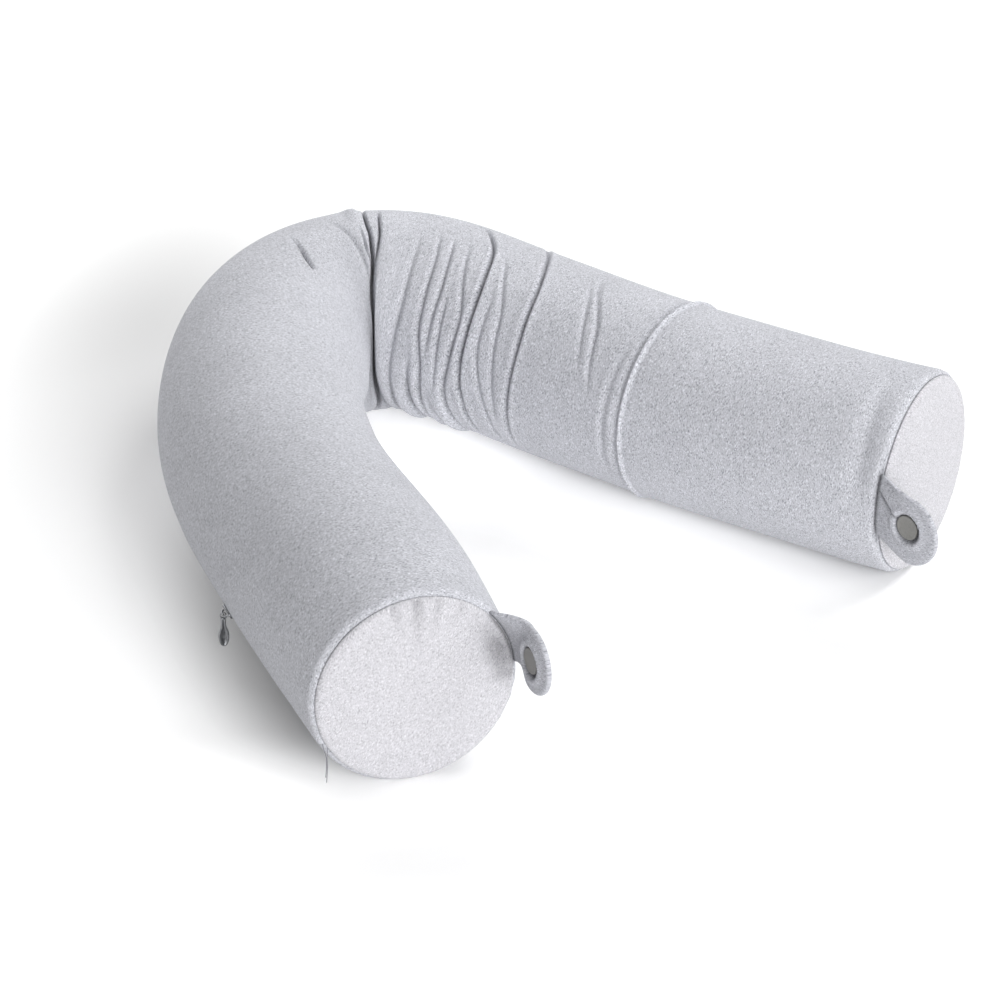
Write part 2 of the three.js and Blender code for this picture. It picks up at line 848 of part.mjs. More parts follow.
function addEnd(group, name, isNear) {
  const frame = endFrame(isNear);
  const tab = TABS.find((row) => row.name === name);
  addPiece(group, `end_disc_${name}`, endDisc(frame), DISC_GREY, standAt(frame.middle, frame.out));

  const surface = tabSurface(frame, tab);
  const outerWay = frame.inward
    .clone()
    .multiplyScalar(Math.cos(tab.splay * DEG))
    .addScaledVector(frame.out, -Math.sin(tab.splay * DEG));
  const faceWay = outerWay.multiplyScalar(tab.snapSide);
  const floor = TAB_THICK / 2 - SNAP_RECESS;
  const snapMiddle = surface.snap.clone().addScaledVector(frame.up, tab.snapLift);
  const recessTall = 6;
  const recess = new THREE.CylinderGeometry(SNAP_RADIUS + SNAP_PLAY, SNAP_RADIUS + SNAP_PLAY, recessTall, 32);
  const recessMiddle = snapMiddle.clone().addScaledVector(faceWay, floor + recessTall / 2);
  const cut = bare(recess).applyMatrix4(standAt(recessMiddle, faceWay));
  const cloth = solidOf(tabSolid(surface, tab)).subtract(solidOf(cut));
  addPiece(group, `snap_tab_${name}`, geometryOf(cloth), COVER_GREY);

  const snapProfile = [
    [0, 0],
    [SNAP_RADIUS - 0.2, 0],
    [SNAP_RADIUS, 0.2],
    [SNAP_RADIUS, SNAP_THICK - 0.4],
    [SNAP_RADIUS - 0.4, SNAP_THICK],
    [SNAP_RADIUS - 1.1, SNAP_THICK],
    [SNAP_RADIUS - 1.5, SNAP_THICK - 0.2],
    [0, SNAP_THICK - 0.2],
  ].map(([radius, out]) => new THREE.Vector2(radius, out));
  const snapPlace = snapMiddle.clone().addScaledVector(faceWay, floor + GAP);
  addPiece(
    group,
    `snap_${name}`,
    bare(new THREE.LatheGeometry(snapProfile, 32)),
    SNAP_GREY,
    standAt(snapPlace, faceWay),
  );
}

function sliderBody() {
  const half = SLIDER.length / 2;
  const outline = new THREE.Shape();
  outline.moveTo(-half, -SLIDER.narrow / 2 + 0.8);
  outline.quadraticCurveTo(-half, -SLIDER.narrow / 2, -half + 1, -SLIDER.narrow / 2);
  outline.lineTo(half - 2, -SLIDER.wide / 2);
  outline.quadraticCurveTo(half, -SLIDER.wide / 2, half, 0);
  outline.quadraticCurveTo(half, SLIDER.wide / 2, half - 2, SLIDER.wide / 2);
  outline.lineTo(-half + 1, SLIDER.narrow / 2);
  outline.quadraticCurveTo(-half, SLIDER.narrow / 2, -half, SLIDER.narrow / 2 - 0.8);
  outline.closePath();
  const bevel = 0.35;
  const body = new THREE.ExtrudeGeometry(outline, {
    depth: SLIDER.thick - 2 * bevel,
    curveSegments: 4,
    bevelEnabled: true,
    bevelThickness: bevel,
    bevelSize: bevel,
    bevelOffset: -bevel,
    bevelSegments: 1,
  });
  body.translate(0, 0, GAP + bevel);
  const legFoot = GAP + SLIDER.thick * 0.5;
  const arch = new THREE.CatmullRomCurve3([
    new THREE.Vector3(-BRIDGE.halfSpan, 0, legFoot),
    new THREE.Vector3(-BRIDGE.halfSpan, 0, BRIDGE.height - 1.4),
    new THREE.Vector3(-BRIDGE.halfSpan + 1.3, 0, BRIDGE.height - 0.1),
    new THREE.Vector3(0, 0, BRIDGE.height),
    new THREE.Vector3(BRIDGE.halfSpan - 1.3, 0, BRIDGE.height - 0.1),
    new THREE.Vector3(BRIDGE.halfSpan, 0, BRIDGE.height - 1.4),
    new THREE.Vector3(BRIDGE.halfSpan, 0, legFoot),
  ]);
  const wire = new THREE.Shape().absarc(0, 0, BRIDGE.wire, 0, 2 * Math.PI);
  const bridge = new THREE.ExtrudeGeometry(wire, { extrudePath: arch, steps: 18, curveSegments: 4 });
  return geometryOf(solidOf(bare(body)).add(solidOf(bare(bridge))));
}

function pullPlate() {
  const leaf = new THREE.Shape();
  const neckTop = -Math.sqrt(PULL.ring ** 2 - PULL.neck ** 2);
  leaf.moveTo(PULL.neck, neckTop);
  leaf.absarc(0, 0, PULL.ring, Math.atan2(neckTop, PULL.neck), Math.atan2(neckTop, -PULL.neck) + 2 * Math.PI);
  leaf.lineTo(-PULL.neck, -PULL.neckDrop);
  const waist = -PULL.neckDrop - 2.5;
  const shoulder = -PULL.leafDrop + 3;
  leaf.bezierCurveTo(-PULL.neck, waist, -PULL.leaf, shoulder, -PULL.leaf, -PULL.leafDrop);
  leaf.bezierCurveTo(-PULL.leaf, -PULL.drop + 1.6, -1.3, -PULL.drop, 0, -PULL.drop);
  leaf.bezierCurveTo(1.3, -PULL.drop, PULL.leaf, -PULL.drop + 1.6, PULL.leaf, -PULL.leafDrop);
  leaf.bezierCurveTo(PULL.leaf, shoulder, PULL.neck, waist, PULL.neck, -PULL.neckDrop);
  leaf.closePath();
  leaf.holes.push(new THREE.Path().absarc(0, 0, PULL.eye, 0, 2 * Math.PI, true));
  const bevel = 0.25;
  const plate = new THREE.ExtrudeGeometry(leaf, {
    depth: PULL.thick - 2 * bevel,
    curveSegments: 7,
    bevelEnabled: true,
    bevelThickness: bevel,
    bevelSize: bevel,
    bevelOffset: -bevel,
    bevelSegments: 1,
  });
  plate.translate(0, 0, bevel - PULL.thick / 2);
  return bare(plate);
}

function addZip(group) {
  const angle = ZIP_ANGLE * DEG;
  const heading = headingAt(SLIDER_ALONG);
  const forward = new THREE.Vector3(Math.cos(heading), Math.sin(heading), 0);
  const left = new THREE.Vector3(-forward.y, forward.x, 0);
  const up = new THREE.Vector3(0, 0, 1);
  const away = left.clone().multiplyScalar(Math.sin(angle)).addScaledVector(up, Math.cos(angle));
  const round = new THREE.Vector3().crossVectors(away, forward);
  const seat = rollPoint(SLIDER_ALONG, angle);
  const sliderPlace = new THREE.Matrix4().makeBasis(forward, round, away).setPosition(seat);
  addPiece(group, "zip_slider", sliderBody(), ZIP_METAL, sliderPlace);

  const wire = seat.clone().addScaledVector(away, BRIDGE.height);
  const eye = wire.clone().addScaledVector(up, -(PULL.eye - BRIDGE.wire - GAP));
  const plateFacing = new THREE.Vector3().crossVectors(left, up);
  const pullPlace = new THREE.Matrix4().makeBasis(left, up, plateFacing).setPosition(eye);
  addPiece(group, "zip_pull", pullPlate(), ZIP_METAL, pullPlace);
}

const pillow = new THREE.Group();
addPiece(pillow, "cover_roll", coverRoll(), COVER_GREY);
addEnd(pillow, "near", true);
addEnd(pillow, "far", false);
addZip(pillow);

export default pillow;
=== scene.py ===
# The looks of a bendable travel pillow: a filled jersey roll bent round into a U, with an end panel sewn
# into each end, a snap tab in each end seam, and a zip slider with its pull.
# The tables are in millimetres, and the meshes in metres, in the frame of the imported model.
import math
from collections import namedtuple

import bmesh
import bpy
import numpy as np
from mathutils import Matrix, Vector


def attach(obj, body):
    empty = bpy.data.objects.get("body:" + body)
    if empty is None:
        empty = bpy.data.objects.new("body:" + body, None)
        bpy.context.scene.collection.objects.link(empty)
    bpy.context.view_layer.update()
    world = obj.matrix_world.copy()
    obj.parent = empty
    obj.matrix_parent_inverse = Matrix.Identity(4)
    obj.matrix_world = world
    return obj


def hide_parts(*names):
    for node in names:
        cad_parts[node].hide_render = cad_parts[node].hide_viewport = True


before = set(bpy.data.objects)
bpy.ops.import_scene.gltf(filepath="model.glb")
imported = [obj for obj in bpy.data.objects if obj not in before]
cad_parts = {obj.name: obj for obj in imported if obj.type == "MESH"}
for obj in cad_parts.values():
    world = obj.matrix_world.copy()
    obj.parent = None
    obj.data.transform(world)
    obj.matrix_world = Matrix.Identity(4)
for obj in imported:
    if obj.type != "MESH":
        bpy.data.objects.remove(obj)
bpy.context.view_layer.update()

MM = 0.001

# The photograph's view.
CAMERA_AT = (-1.0953, -1.3240, 1.0135)
CAMERA_TO = (-0.0226, -0.0456, 0.0500)
CAMERA_LENS = 151.0
CAMERA_SENSOR = 36
CAMERA_FAR = 50

# The studio: soft round lamps, each by the way to it from the pillow, in metres and watts, and an even sky.
Lamp = namedtuple("Lamp", "name toward distance size power")
LAMPS = [
    Lamp("low front lamp", (-0.321, -0.883, 0.342), 3.0, 2.0, 87.0),
    Lamp("right front lamp", (0.470, -0.814, 0.342), 3.0, 1.2, 12.5),
    Lamp("low back lamp", (0.130, 0.893, 0.430), 1.2, 0.9, 7.5),
    Lamp("right lamp", (0.643, 0.0, 0.766), 1.2, 0.9, 10.0),
]
SKY_STRENGTH = 0.33
FLOOR_SIZE = 24.0
FLOOR_TONE = 0.92
# Soft rounds of the floor with painted light, which glows though it is no lamp, and others with painted
# shadow, a darker floor colour: middle and reaches in metres, turn in degrees, and level. They were fitted
# to the floor's tones in the photograph's view.
Round = namedtuple("Round", "x y reach_x reach_y turn level")
PAINTED_FLOOR_LIGHT = [
    Round(0.060, -0.043, 0.053, 0.241, 15, 0.97),
    Round(0.034, 0.095, 0.125, 0.105, 23, 0.96),
    Round(-0.189, -0.005, 0.092, 0.328, -34, 0.44),
    Round(-0.216, -0.111, 0.140, 0.060, -41, 0.90),
    Round(-0.175, -0.396, 0.258, 0.082, -40, 0.07),
]
PAINTED_FLOOR_LIGHT_STRENGTH = 0.45
PAINTED_FLOOR_SHADOWS = [
    Round(0.014, 0.288, 0.118, 0.267, -49, 0.33),
    Round(-0.142, -0.006, 0.050, 0.204, -19, 0.50),
]

# The roll's middle line in plan, from the near end. A turn to the left is positive.
START = {"x": -148.9, "y": -139.15, "heading": 70.5}
Stretch = namedtuple("Stretch", "name length turn")
STRETCHES = [
    Stretch("near arm", 153, 2.0),
    Stretch("shoulder", 171, -35.6),
    Stretch("bend", 102, -118.2),
    Stretch("far arm", 266, 11.8),
]
TURN_FADE = 30
ROLL_LENGTH = sum(stretch.length for stretch in STRETCHES)

# The roll's section: radius at places along the middle line, how far it sags flat, and the round of the
# edges of its ends.
GIRTH = [
    (0, 47.3),
    (60, 50.5),
    (150, 49.9),
    (250, 50.3),
    (340, 50.1),
    (400, 49.4),
    (460, 48.1),
    (600, 48.1),
    (692, 48.8),
]
SAG = 2.0
RIM_ROUND = 3.5

# The least radius inside the bend, how softly that limit sets in, from how many times the softness before
# it, and the greatest power that is worked out for it.
CROTCH_RADIUS = 2.0
CROTCH_SOFT = 1.5
CROTCH_REACH = 8
MOST_EXPONENT = 60

# A fold's lips lie this many widths off its middle, and cloth inside the bend keeps at least this scale.
LIP_PLACE = 1.7
LEAST_SCALE = 0.15

# The inner side of the bend is pushed back along the roll: where, how far, and over which reaches it fades.
LEAN = {"along": 375, "shift": 6.5, "held": 36, "gone": 112}
LEAN_SIDE = {"from": 0.15, "span": 0.7}
LEAN_LOW = {"from": 95, "span": 50}

# Soft swells of the filled cloth, puckers at its end seams, and how near to them the zip's seam fades out.
SWELL_LONG = 0.3
SWELL_SHORT = 0.2
SWELL_FADE = 20
PUCKER_HEIGHT = 0.16
PUCKER_REACH = 6
SEAM_FADE = 4

# Folds, each along a path of angle round the roll (0 on top, negative toward the inside of the U), place
# along the middle line, and depth, which is below zero for a ridge. Widths and lips are those of the two
# sides.
Fold = namedtuple("Fold", "name near_width far_width near_lip far_lip path")
FOLDS = [
    Fold("bulge beyond the valley", 3, 9, 0, 0,
         [(-150, 404, 0), (-118, 404, -2.6), (-90, 402, -3.4), (-58, 398, -3.4), (-28, 392, -2),
          (6, 388, -0.8), (24, 388, 0)]),
    Fold("low bulge 1 of the far arm", 4, 4, 0, 0,
         [(-166, 418, 0), (-148, 418.5, -2.8), (-125, 420.5, -2.8), (-104, 426, -0.7), (-88, 430, 0)]),
    Fold("low bulge 2 of the far arm", 4.6, 4.6, 0, 0,
         [(-166, 436, 0), (-148, 437, -2.6), (-125, 438.5, -2.6), (-104, 442, -0.6), (-88, 445, 0)]),
    Fold("low bulge 3 of the far arm", 3.8, 3.8, 0, 0,
         [(-166, 448, 0), (-148, 449, -2.6), (-125, 450.5, -2.6), (-104, 452, -0.7), (-88, 454, 0)]),
    Fold("hollow inside the near arm", 14, 22, 0, 0,
         [(-132, 262, 0), (-110, 262, 6), (-97, 254, 5), (-86, 238, 4.5), (-76, 228, 2.5), (-66, 220, 0)]),
    Fold("main valley", 1.1, 1.1, 0, 0.1,
         [(-158, 372, 0), (-125, 376, 2.8), (-95, 381, 3.4), (-60, 383.5, 3.4), (-40, 383.6, 3.2),
          (-30, 382, 2), (-20, 379.2, 0.6), (-12, 378.8, 0)]),
    Fold("top of the main valley", 0.9, 0.9, 0, 0.1,
         [(-42, 383.8, 0), (-32, 382.4, 1.4), (-22, 379.6, 2.4), (-8, 378.8, 2.4), (5, 379.4, 2.2),
          (16, 380.2, 1.6), (28, 381, 0.7), (40, 381, 0)]),
    Fold("lip over the valley", 7, 2, 0, 0,
         [(-48, 374, 0), (-20, 373, -0.8), (8, 375.5, -1.4), (30, 377.5, -1.6), (46, 378, -1.4),
          (68, 378, 0)]),
    Fold("valley branch toward the far arm", 0.9, 0.9, 0.1, 0.2,
         [(-42, 384, 0), (-33, 385.3, 0.9), (-19, 385, 1.4), (3, 385.6, 1.3), (15, 386, 0)]),
    Fold("tuck at the lip", 0.9, 0.9, 0.1, 0.1,
         [(-37, 382, 0), (-31, 379.5, 0.8), (-25, 375.6, 1), (-14, 373.5, 0.7), (-6, 372.5, 0)]),
    Fold("valley branch toward the near arm", 1.5, 1.5, 0.1, 0,
         [(-48, 380.5, 0), (-39, 376, 0.9), (-24, 368, 1.1), (-13, 365.2, 1), (1, 363, 0.6), (12, 362, 0)]),
    Fold("dimple behind the lip", 2.4, 2.4, 0, 0,
         [(-2, 370, 0), (6, 370.8, 0.8), (20, 372.4, 1), (32, 373.6, 0)]),
    Fold("low branch of the valley", 1.5, 1.5, 0.1, 0.2,
         [(-160, 392, 0), (-146, 392, 1.6), (-125, 391, 2.2), (-105, 387, 1.8), (-84, 384, 0)]),
    Fold("short dimple on the shoulder", 1.4, 1.4, 0.1, 0.1,
         [(-21.5, 318.4, 0), (-19.5, 319.7, 1.5), (-16.5, 321.7, 3.4), (-12, 325.3, 3.6), (-8, 329.2, 2.4),
          (-2, 334, 1.1), (4, 338, 0.5), (9, 341, 0)]),
    Fold("far arm fold 1", 1.6, 1.9, 0.1, 0.15,
         [(-163, 409, 0), (-148, 410, 2.2), (-127, 413.4, 2), (-96, 421.3, 1.3), (-76, 424.4, 1.2),
          (-50, 424.2, 1), (-20, 412.8, 0.5), (-8, 408.5, 0)]),
    Fold("far arm low fold", 1.6, 1.6, 0.2, 0.15,
         [(-163, 424, 0), (-148, 425, 2.4), (-127, 429, 2.2), (-112, 432.5, 1.7), (-95, 436, 0.8),
          (-82, 438, 0)]),
    Fold("far arm fold 2", 1.4, 1.6, 0.1, 0.2,
         [(-160, 434, 0), (-146, 435.4, 1.6), (-116, 440.6, 1.5), (-97, 444.2, 1.5), (-84, 444.3, 1.4),
          (-66, 440.6, 1.3), (-50, 438.2, 1.2), (-30, 431.4, 1), (-15, 423.4, 0.7), (-4, 419, 0)]),
    Fold("far arm fold 3", 1.3, 1.5, 0.1, 0.2,
         [(-84, 448, 0), (-66, 447.3, 0.8), (-40, 443.8, 1.1), (-15, 432.3, 0.8), (-6, 428, 0)]),
    Fold("far arm short fold", 1.2, 1.3, 0.1, 0.2,
         [(-106, 453, 0), (-78, 453.8, 0.9), (-52, 451.5, 0.8), (-42, 449.5, 0)]),
    Fold("far arm fold 4", 1.6, 1.7, 0.1, 0.2,
         [(-163, 454, 0), (-148, 455, 2), (-103, 457.5, 1.6), (-75, 460.6, 1.5), (-48, 459.3, 1.1),
          (-15, 442.4, 0.6), (-4, 437, 0)]),
    Fold("far arm fold 5", 1.5, 1.6, 0.2, 0.3,
         [(-160, 469.5, 0), (-130, 468.4, 1.2), (-101, 467.6, 1.5), (-91, 466.8, 1.8), (-53, 465.8, 2.1),
          (-30, 461.8, 2.1), (-3, 450.6, 1.7), (17, 435.2, 1.1), (28, 427, 0)]),
    Fold("far arm fold 6", 1.5, 1.6, 0.1, 0.2,
         [(-142, 484, 0), (-107, 480.8, 1), (-67, 474, 1.1), (-40, 471.8, 0.7), (-28, 469, 0)]),
    Fold("far arm fold 7", 1.6, 1.8, 0.1, 0.2,
         [(-112, 486.5, 0), (-90, 485.2, 0.8), (-64, 482.5, 1.1), (-40, 478.4, 1.1), (-15, 466, 0.7),
          (-4, 459.5, 0)]),
    Fold("far arm fold 8", 1.7, 1.6, 0.1, 0.4,
         [(-138, 491.5, 0), (-104, 493.2, 1.2), (-70, 495.1, 1.7), (-49, 494.3, 2), (-19, 488.9, 2),
          (11, 475.8, 1.6), (31, 462.8, 1), (42, 456, 0)]),
    Fold("far arm fold 9, near trough", 1.6, 1.4, 0.1, 0.2,
         [(-62, 531, 0), (-45, 527, 0.7), (-16, 517, 0.9), (4, 508, 0)]),
    Fold("far arm fold 9, far trough", 1.4, 1.8, 0.2, 0.2,
         [(-74, 540, 0), (-54, 535.5, 0.8), (-30, 529.5, 1.1), (-2, 515, 1), (9, 510.5, 0)]),
    Fold("trough before the ring ridge", 1.6, 1.2, 0.2, 0,
         [(-160, 556.4, 0), (-140, 556.4, 0.7), (130, 556.4, 0.7), (158, 556.4, 0)]),
    Fold("ring ridge", 1.1, 1.1, 0, 0.1,
         [(-162, 559, 0), (-146, 559, -1), (130, 559, -1), (158, 559, 0)]),
    Fold("second trough beside the ring ridge", 2, 1.6, 0.3, 0.3,
         [(-124, 549.5, 0), (-95, 549, 1), (-50, 550, 0.8), (-26, 552, 0)]),
    Fold("dent at the far seam", 5, 5, 0.05, 0,
         [(-92, 681, 0), (-62, 680, 1.8), (-24, 678, 1.6), (-4, 677, 0)]),
    Fold("tuck at the far tab", 1.1, 1.1, 0, 0,
         [(-112, 690.6, 0), (-103, 690.3, 1.5), (-86, 690.6, 1.1), (-70, 690.3, 1.6), (-55, 690.6, 0)]),
    Fold("pucker by the zip slider", 4, 4, 0.3, 0.3,
         [(62, 90, 0), (78, 106, 0.9), (95, 123, 0.9), (104, 130, 0)]),
]

# Sharp lines pressed into the middle of some folds: width, and depth as a share of the fold's own.
Crease = namedtuple("Crease", "width share")
CREASES = {
    "main valley": Crease(0.6, 1.4),
    "top of the main valley": Crease(0.5, 1.4),
    "valley branch toward the far arm": Crease(0.5, 1.4),
    "tuck at the lip": Crease(0.5, 1.6),
    "valley branch toward the near arm": Crease(0.7, 0.7),
    "low branch of the valley": Crease(0.7, 0.9),
    "short dimple on the shoulder": Crease(0.8, 1.3),
    "far arm fold 1": Crease(0.8, 0.6),
    "far arm low fold": Crease(0.9, 0.9),
    "far arm fold 2": Crease(0.8, 0.8),
    "far arm fold 3": Crease(0.8, 0.8),
    "far arm short fold": Crease(0.7, 0.6),
    "far arm fold 4": Crease(0.8, 0.8),
    "far arm fold 5": Crease(0.8, 1.1),
    "far arm fold 6": Crease(0.7, 0.3),
    "far arm fold 7": Crease(0.7, 0.4),
    "far arm fold 8": Crease(0.8, 0.8),
    "far arm fold 9, near trough": Crease(0.7, 0.5),
    "far arm fold 9, far trough": Crease(0.7, 0.6),
    "ring ridge": Crease(0.6, 0.4),
    "tuck at the far tab": Crease(0.9, 1.0),
}

# Cloth deep in a crease is painted darker, as painted shade. A crease this deep counts as full, and the
# painted shade is wider than its line. A mark of 1 takes the painted shade once, and the greatest mark is
# that of a tight fold. The end panels and tabs take the same painted shade.
CREASE_FULL = 3.0
CREASE_SPREAD = 1.4
PAINTED_SHADE = 0.36
CREASE_MOST = 1.8

# Faint stretch lines that fan out from the crotch over the shoulder. The path of the first is given by
# angle and place along the middle line, with the step in place from one line to the next.
STRETCH_LINES = 11
STRETCH_SEED = 3
STRETCH_DEPTH = 0.22
STRETCH_WIDTH = 1.3
STRETCH_LIP = 0.4
STRETCH_PATH = [(-134, 367, 1.0), (-105, 365, 2.4), (-70, 361, 5.2), (-38, 356, 8.0)]
STRETCH_WANDER = 8

# The seam that closes the roll and carries the zip: groove depth and width, and the lips beside it.
ZIP_ANGLE = 116
ZIP_GROOVE = {"depth": 0.9, "width": 0.7, "lip": 0.35, "lip_off": 1.8, "lip_width": 1.2}

# Rows of the roll's grid along its middle line, and columns round it, as (from, to, steps). The columns
# start and end on the seam that carries the zip.
ROW_BANDS = [
    (RIM_ROUND, 30, 14),
    (30, 300, 70),
    (300, 312, 9),
    (312, 348, 44),
    (348, 356, 7),
    (356, 374, 24),
    (374, 390, 52),
    (390, 430, 84),
    (430, 486, 112),
    (486, 504, 24),
    (504, 554, 42),
    (554, 563, 18),
    (563, 660, 28),
    (660, ROLL_LENGTH - RIM_ROUND, 24),
]
RIM_PARTS = (0, 0.06, 0.16, 0.32, 0.55, 0.78)
COLUMN_BANDS = [
    (ZIP_ANGLE - 360, -236, 8),
    (-236, -196, 13),
    (-196, -164, 8),
    (-164, 40, 112),
    (40, 108, 24),
    (108, ZIP_ANGLE, 8),
]

# The rows lean along with the far arm's folds: their shift along the middle line by angle, and where the
# lean fades in and out.
ROW_SLANT = [
    (-244, 0),
    (-196, 6),
    (-148, 12),
    (-100, 18),
    (-75, 20),
    (-50, 17.5),
    (-30, 12),
    (-15, 4),
    (0, -2),
    (17, -12),
    (31, -18),
    (45, -21),
    (70, -17),
    (116, 0),
]
SLANT_IN = (385, 435)
SLANT_OUT = (500, 550)

# The end panels: the rim lies inside the roll's, and the edge rolls into the seam.
PANEL_INSET = 2.2
PANEL_RIM = 1.9
PANEL_EDGE = 2.4
PANEL_DOME = 2.7
PANEL_DOME_POWER = 2.6
PANEL_BACK_INSET = 0.8
PANEL_RINGS = 30
PANEL_EDGE_RINGS = 9
PANEL_SPIN = 300
GAP = 0.3

# Gathers of an end panel: angle from the top toward the inside of the U, depth, half width, length inward.
Gather = namedtuple("Gather", "angle depth width length")
GATHERS = {
    "near": [
        Gather(-13, 1.3, 1.9, 8),
        Gather(1, 1.9, 2.1, 14),
        Gather(14, 1.2, 2.0, 9),
        Gather(29, 0.8, 1.8, 8),
        Gather(91, 1.1, 2.3, 10),
    ],
    "far": [
        Gather(-20, 0.3, 2.0, 7),
        Gather(28, 0.35, 2.2, 9),
        Gather(62, 0.4, 2.2, 8),
    ],
}
SMALL_GATHERS = 33
SMALL_SEEDS = {"near": 7, "far": 8}
SMALL_WANDER = 0.3
SMALL_DEPTH = (0.05, 0.2)
SMALL_WIDTH = (0.9, 1.6)
SMALL_LENGTH = 3.5

# The pull of the tab in the panel's seam: its depths, and its turn past the tab's root, half angle, place
# in from the rim and reach. Then a drawn-in place's full depth and its painted shade, and the reach of the
# painted shade along the seam beside the tab.
PANEL_PULL = {"near": 2.9, "far": 0.8}
PULL_AT = {"turn": 6, "half_angle": 17, "inward": 5.5, "reach": 5.5}
PANEL_FULL = 2.4
PANEL_SHADE = 1.05
SEAM_SHADE_REACH = 1.6

# The snap tabs, as in the part: the middle of the round end lies out, inward and up from the root on the
# end seam, and the snap the lift above it.
TAB_ROOT_WIDTH = 30
TAB_ROOT_THICK = 1.4
TAB_THICK = 3.4
TAB_EDGE_THICK = 1.4
TAB_EDGE_ROUND = 0.7
TAB_PAD_EDGE = 4.5
TAB_ROOT_INSET = 1.2
TAB_ROOT_SUNK = 0.3
TAB_EDGE_LEAST = 0.15
TAB_GROWN = 9
TAB_STRAIGHT_ROWS = 34
TAB_ROUND_ROWS = 18
TAB_ROUND_ANGLE = 87
TAB_COLUMNS = 48
FACING_STEP = 0.5
RELIEF_FADE = 2

# A tab's middle line leaves the seam and comes to the snap along these shares of its reach. The tab is
# upright from where the share of the reach that lies behind, times the last of them, is 1.
TAB_LEAVING = 0.4
TAB_ARRIVING = 0.3
TAB_UPRIGHT = 1.2
Tab = namedtuple("Tab", "name root_angle flare splay round out inward up lift snap_side")
TABS = {
    "near": Tab("near", 67, 34, 6, 15.5, 21.8, 3.8, -1.6, 0, -1),
    "far": Tab("far", 83, 20, 16, 17, 18.9, 6.6, -4.6, 2, 1),
}
SNAP_RADIUS = 6.0
SNAP_THICK = 1.2
SNAP_RECESS = 1.5
SNAP_PLAY = 0.4

# A snap's profile: the chamfer of its foot, the round of its rim, and steps in from the rim and down from
# the top to its dished face.
SNAP_FOOT = 0.25
SNAP_RIM = 0.45
SNAP_DISH = [(0.9, 0.02), (1.3, 0.16), (1.8, 0.22)]
SNAP_FACE = {"radius": 2.4, "down": 0.26}
SNAP_SPIN = 56

# The relief of a tab, and its painted shade: the seam at its root, which takes painted shade, the snap's
# well, which also takes painted shade, the puffed ring round the well, the swelling behind the snap, and
# the crease across the far tab, where one layer laps over a groove that takes painted shade.
ROOT_SEAM_SHADE = {"mark": 1.3, "reach": 1.8}
WELL_OFF = 0.4
WELL = {"wider": 0.3, "edge": 0.8, "deeper": 0.2}
PUFF = {"height": 1.1, "radius": 8.6, "width": 1.9}
SNAP_BACK = {"height": 0.35, "radius": 6.0, "edge": 1.6}
LAP_LINE = {"across": 7.8, "slope": 0.30, "fade_in": 2, "held": 14, "fade_out": 3}
LAP = {"height": 0.9, "rise": 0.9, "held": 2.5, "fall": 5}
LAP_GROOVE = {"depth": 0.9, "off": 0.5, "width": 1.0}
LAP_SHADE = {"mark": 1.4, "off": 0.4, "width": 1.1}

# Stitches that show in the end seams.
STITCH_PITCH = 2.6
STITCH_LENGTH = 1.3
STITCH_THICK = 0.28
STITCH_LEAN = 26
STITCH_OUT = 0.05
STITCH_LIFT = 0.35

# The loose thread at the near seam: two strands that leave it side by side, meet and hang together.
THREAD_ANGLE = -115
THREAD_DROP = 18.5
THREAD_THICK = 0.36
THREAD_POINTS = 15
THREAD_APART = {"start": 1.0, "end": 0.17, "meet": 0.45}
THREAD_WANDER = {"width": 0.6, "wave": 4.2}
THREAD_SHORTER = 0.86
THREAD_OFF = {"start": 0.5, "more": 1.8}

# The zip slider and its pull, as in the part.
SLIDER_ALONG = 119.6
SLIDER = {"length": 9, "wide": 5, "narrow": 3.4, "thick": 1.2}
BRIDGE = {"wire": 0.5, "half_span": 2.9, "height": 3.4}
PULL = {"eye": 1.0, "ring": 1.6, "neck": 1.1, "neck_drop": 4.2, "leaf": 2.5, "leaf_drop": 11, "drop": 16.2}
PULL_THICK = 1.4

# The handles of the curves in the pull's outline, and the dish in its two faces.
LEAF_CURVE = {"waist": 2.5, "shoulder": 3, "tip_width": 1.3, "tip_drop": 1.6}
LEAF_DISH = {"rim": 0.45, "slope": 0.2, "depth": 0.22}

# Heathered jersey: colours of its yarns, width of a column of loops and length of a fleck in metres, turn
# of the knit on the piece in degrees, and height of the loops in metres.
Jersey = namedtuple("Jersey", "ground dark pale loop fleck turn relief")
GREY_GROUND = (0.503, 0.509, 0.548)
GREY_DARK = (0.238, 0.243, 0.268)
GREY_PALE = (0.735, 0.742, 0.790)
WARM_GROUND = (0.515, 0.510, 0.540)
WARM_DARK = (0.335, 0.332, 0.352)
WARM_PALE = (0.690, 0.684, 0.715)
DEEP_GROUND = (0.437, 0.442, 0.480)
DEEP_DARK = (0.246, 0.250, 0.276)
DEEP_PALE = (0.615, 0.622, 0.668)
JERSEYS = {
    "cover_jersey": Jersey(GREY_GROUND, GREY_DARK, GREY_PALE, 0.0007, 0.0011, 0, 0.00011),
    "end_jersey": Jersey(WARM_GROUND, WARM_DARK, WARM_PALE, 0.0007, 0.0010, 32, 0.00010),
    "tab_jersey": Jersey(DEEP_GROUND, DEEP_DARK, DEEP_PALE, 0.0007, 0.0010, 14, 0.00010),
}
CLOTH_SHADER = {"Specular IOR Level": 0.2, "Sheen Weight": 0.12, "Sheen Roughness": 0.5}

# The knit, by the width of a column of loops: rows of loops, climb of their sides, and width of a fleck.
# Then the fuzz's share of the height, and each kind of fleck's layer of noise and the range it is cut from.
KNIT = {"rows": 1.25, "climb": 1.6, "fleck_width": 0.6, "fuzz": 0.6}
DARK_FLECKS = (3.7, 0.50, 0.68)
PALE_FLECKS = (11.3, 0.52, 0.70)
FUZZ = (23.1, 0.30, 0.70)
CLOUD_SCALE = 30.0

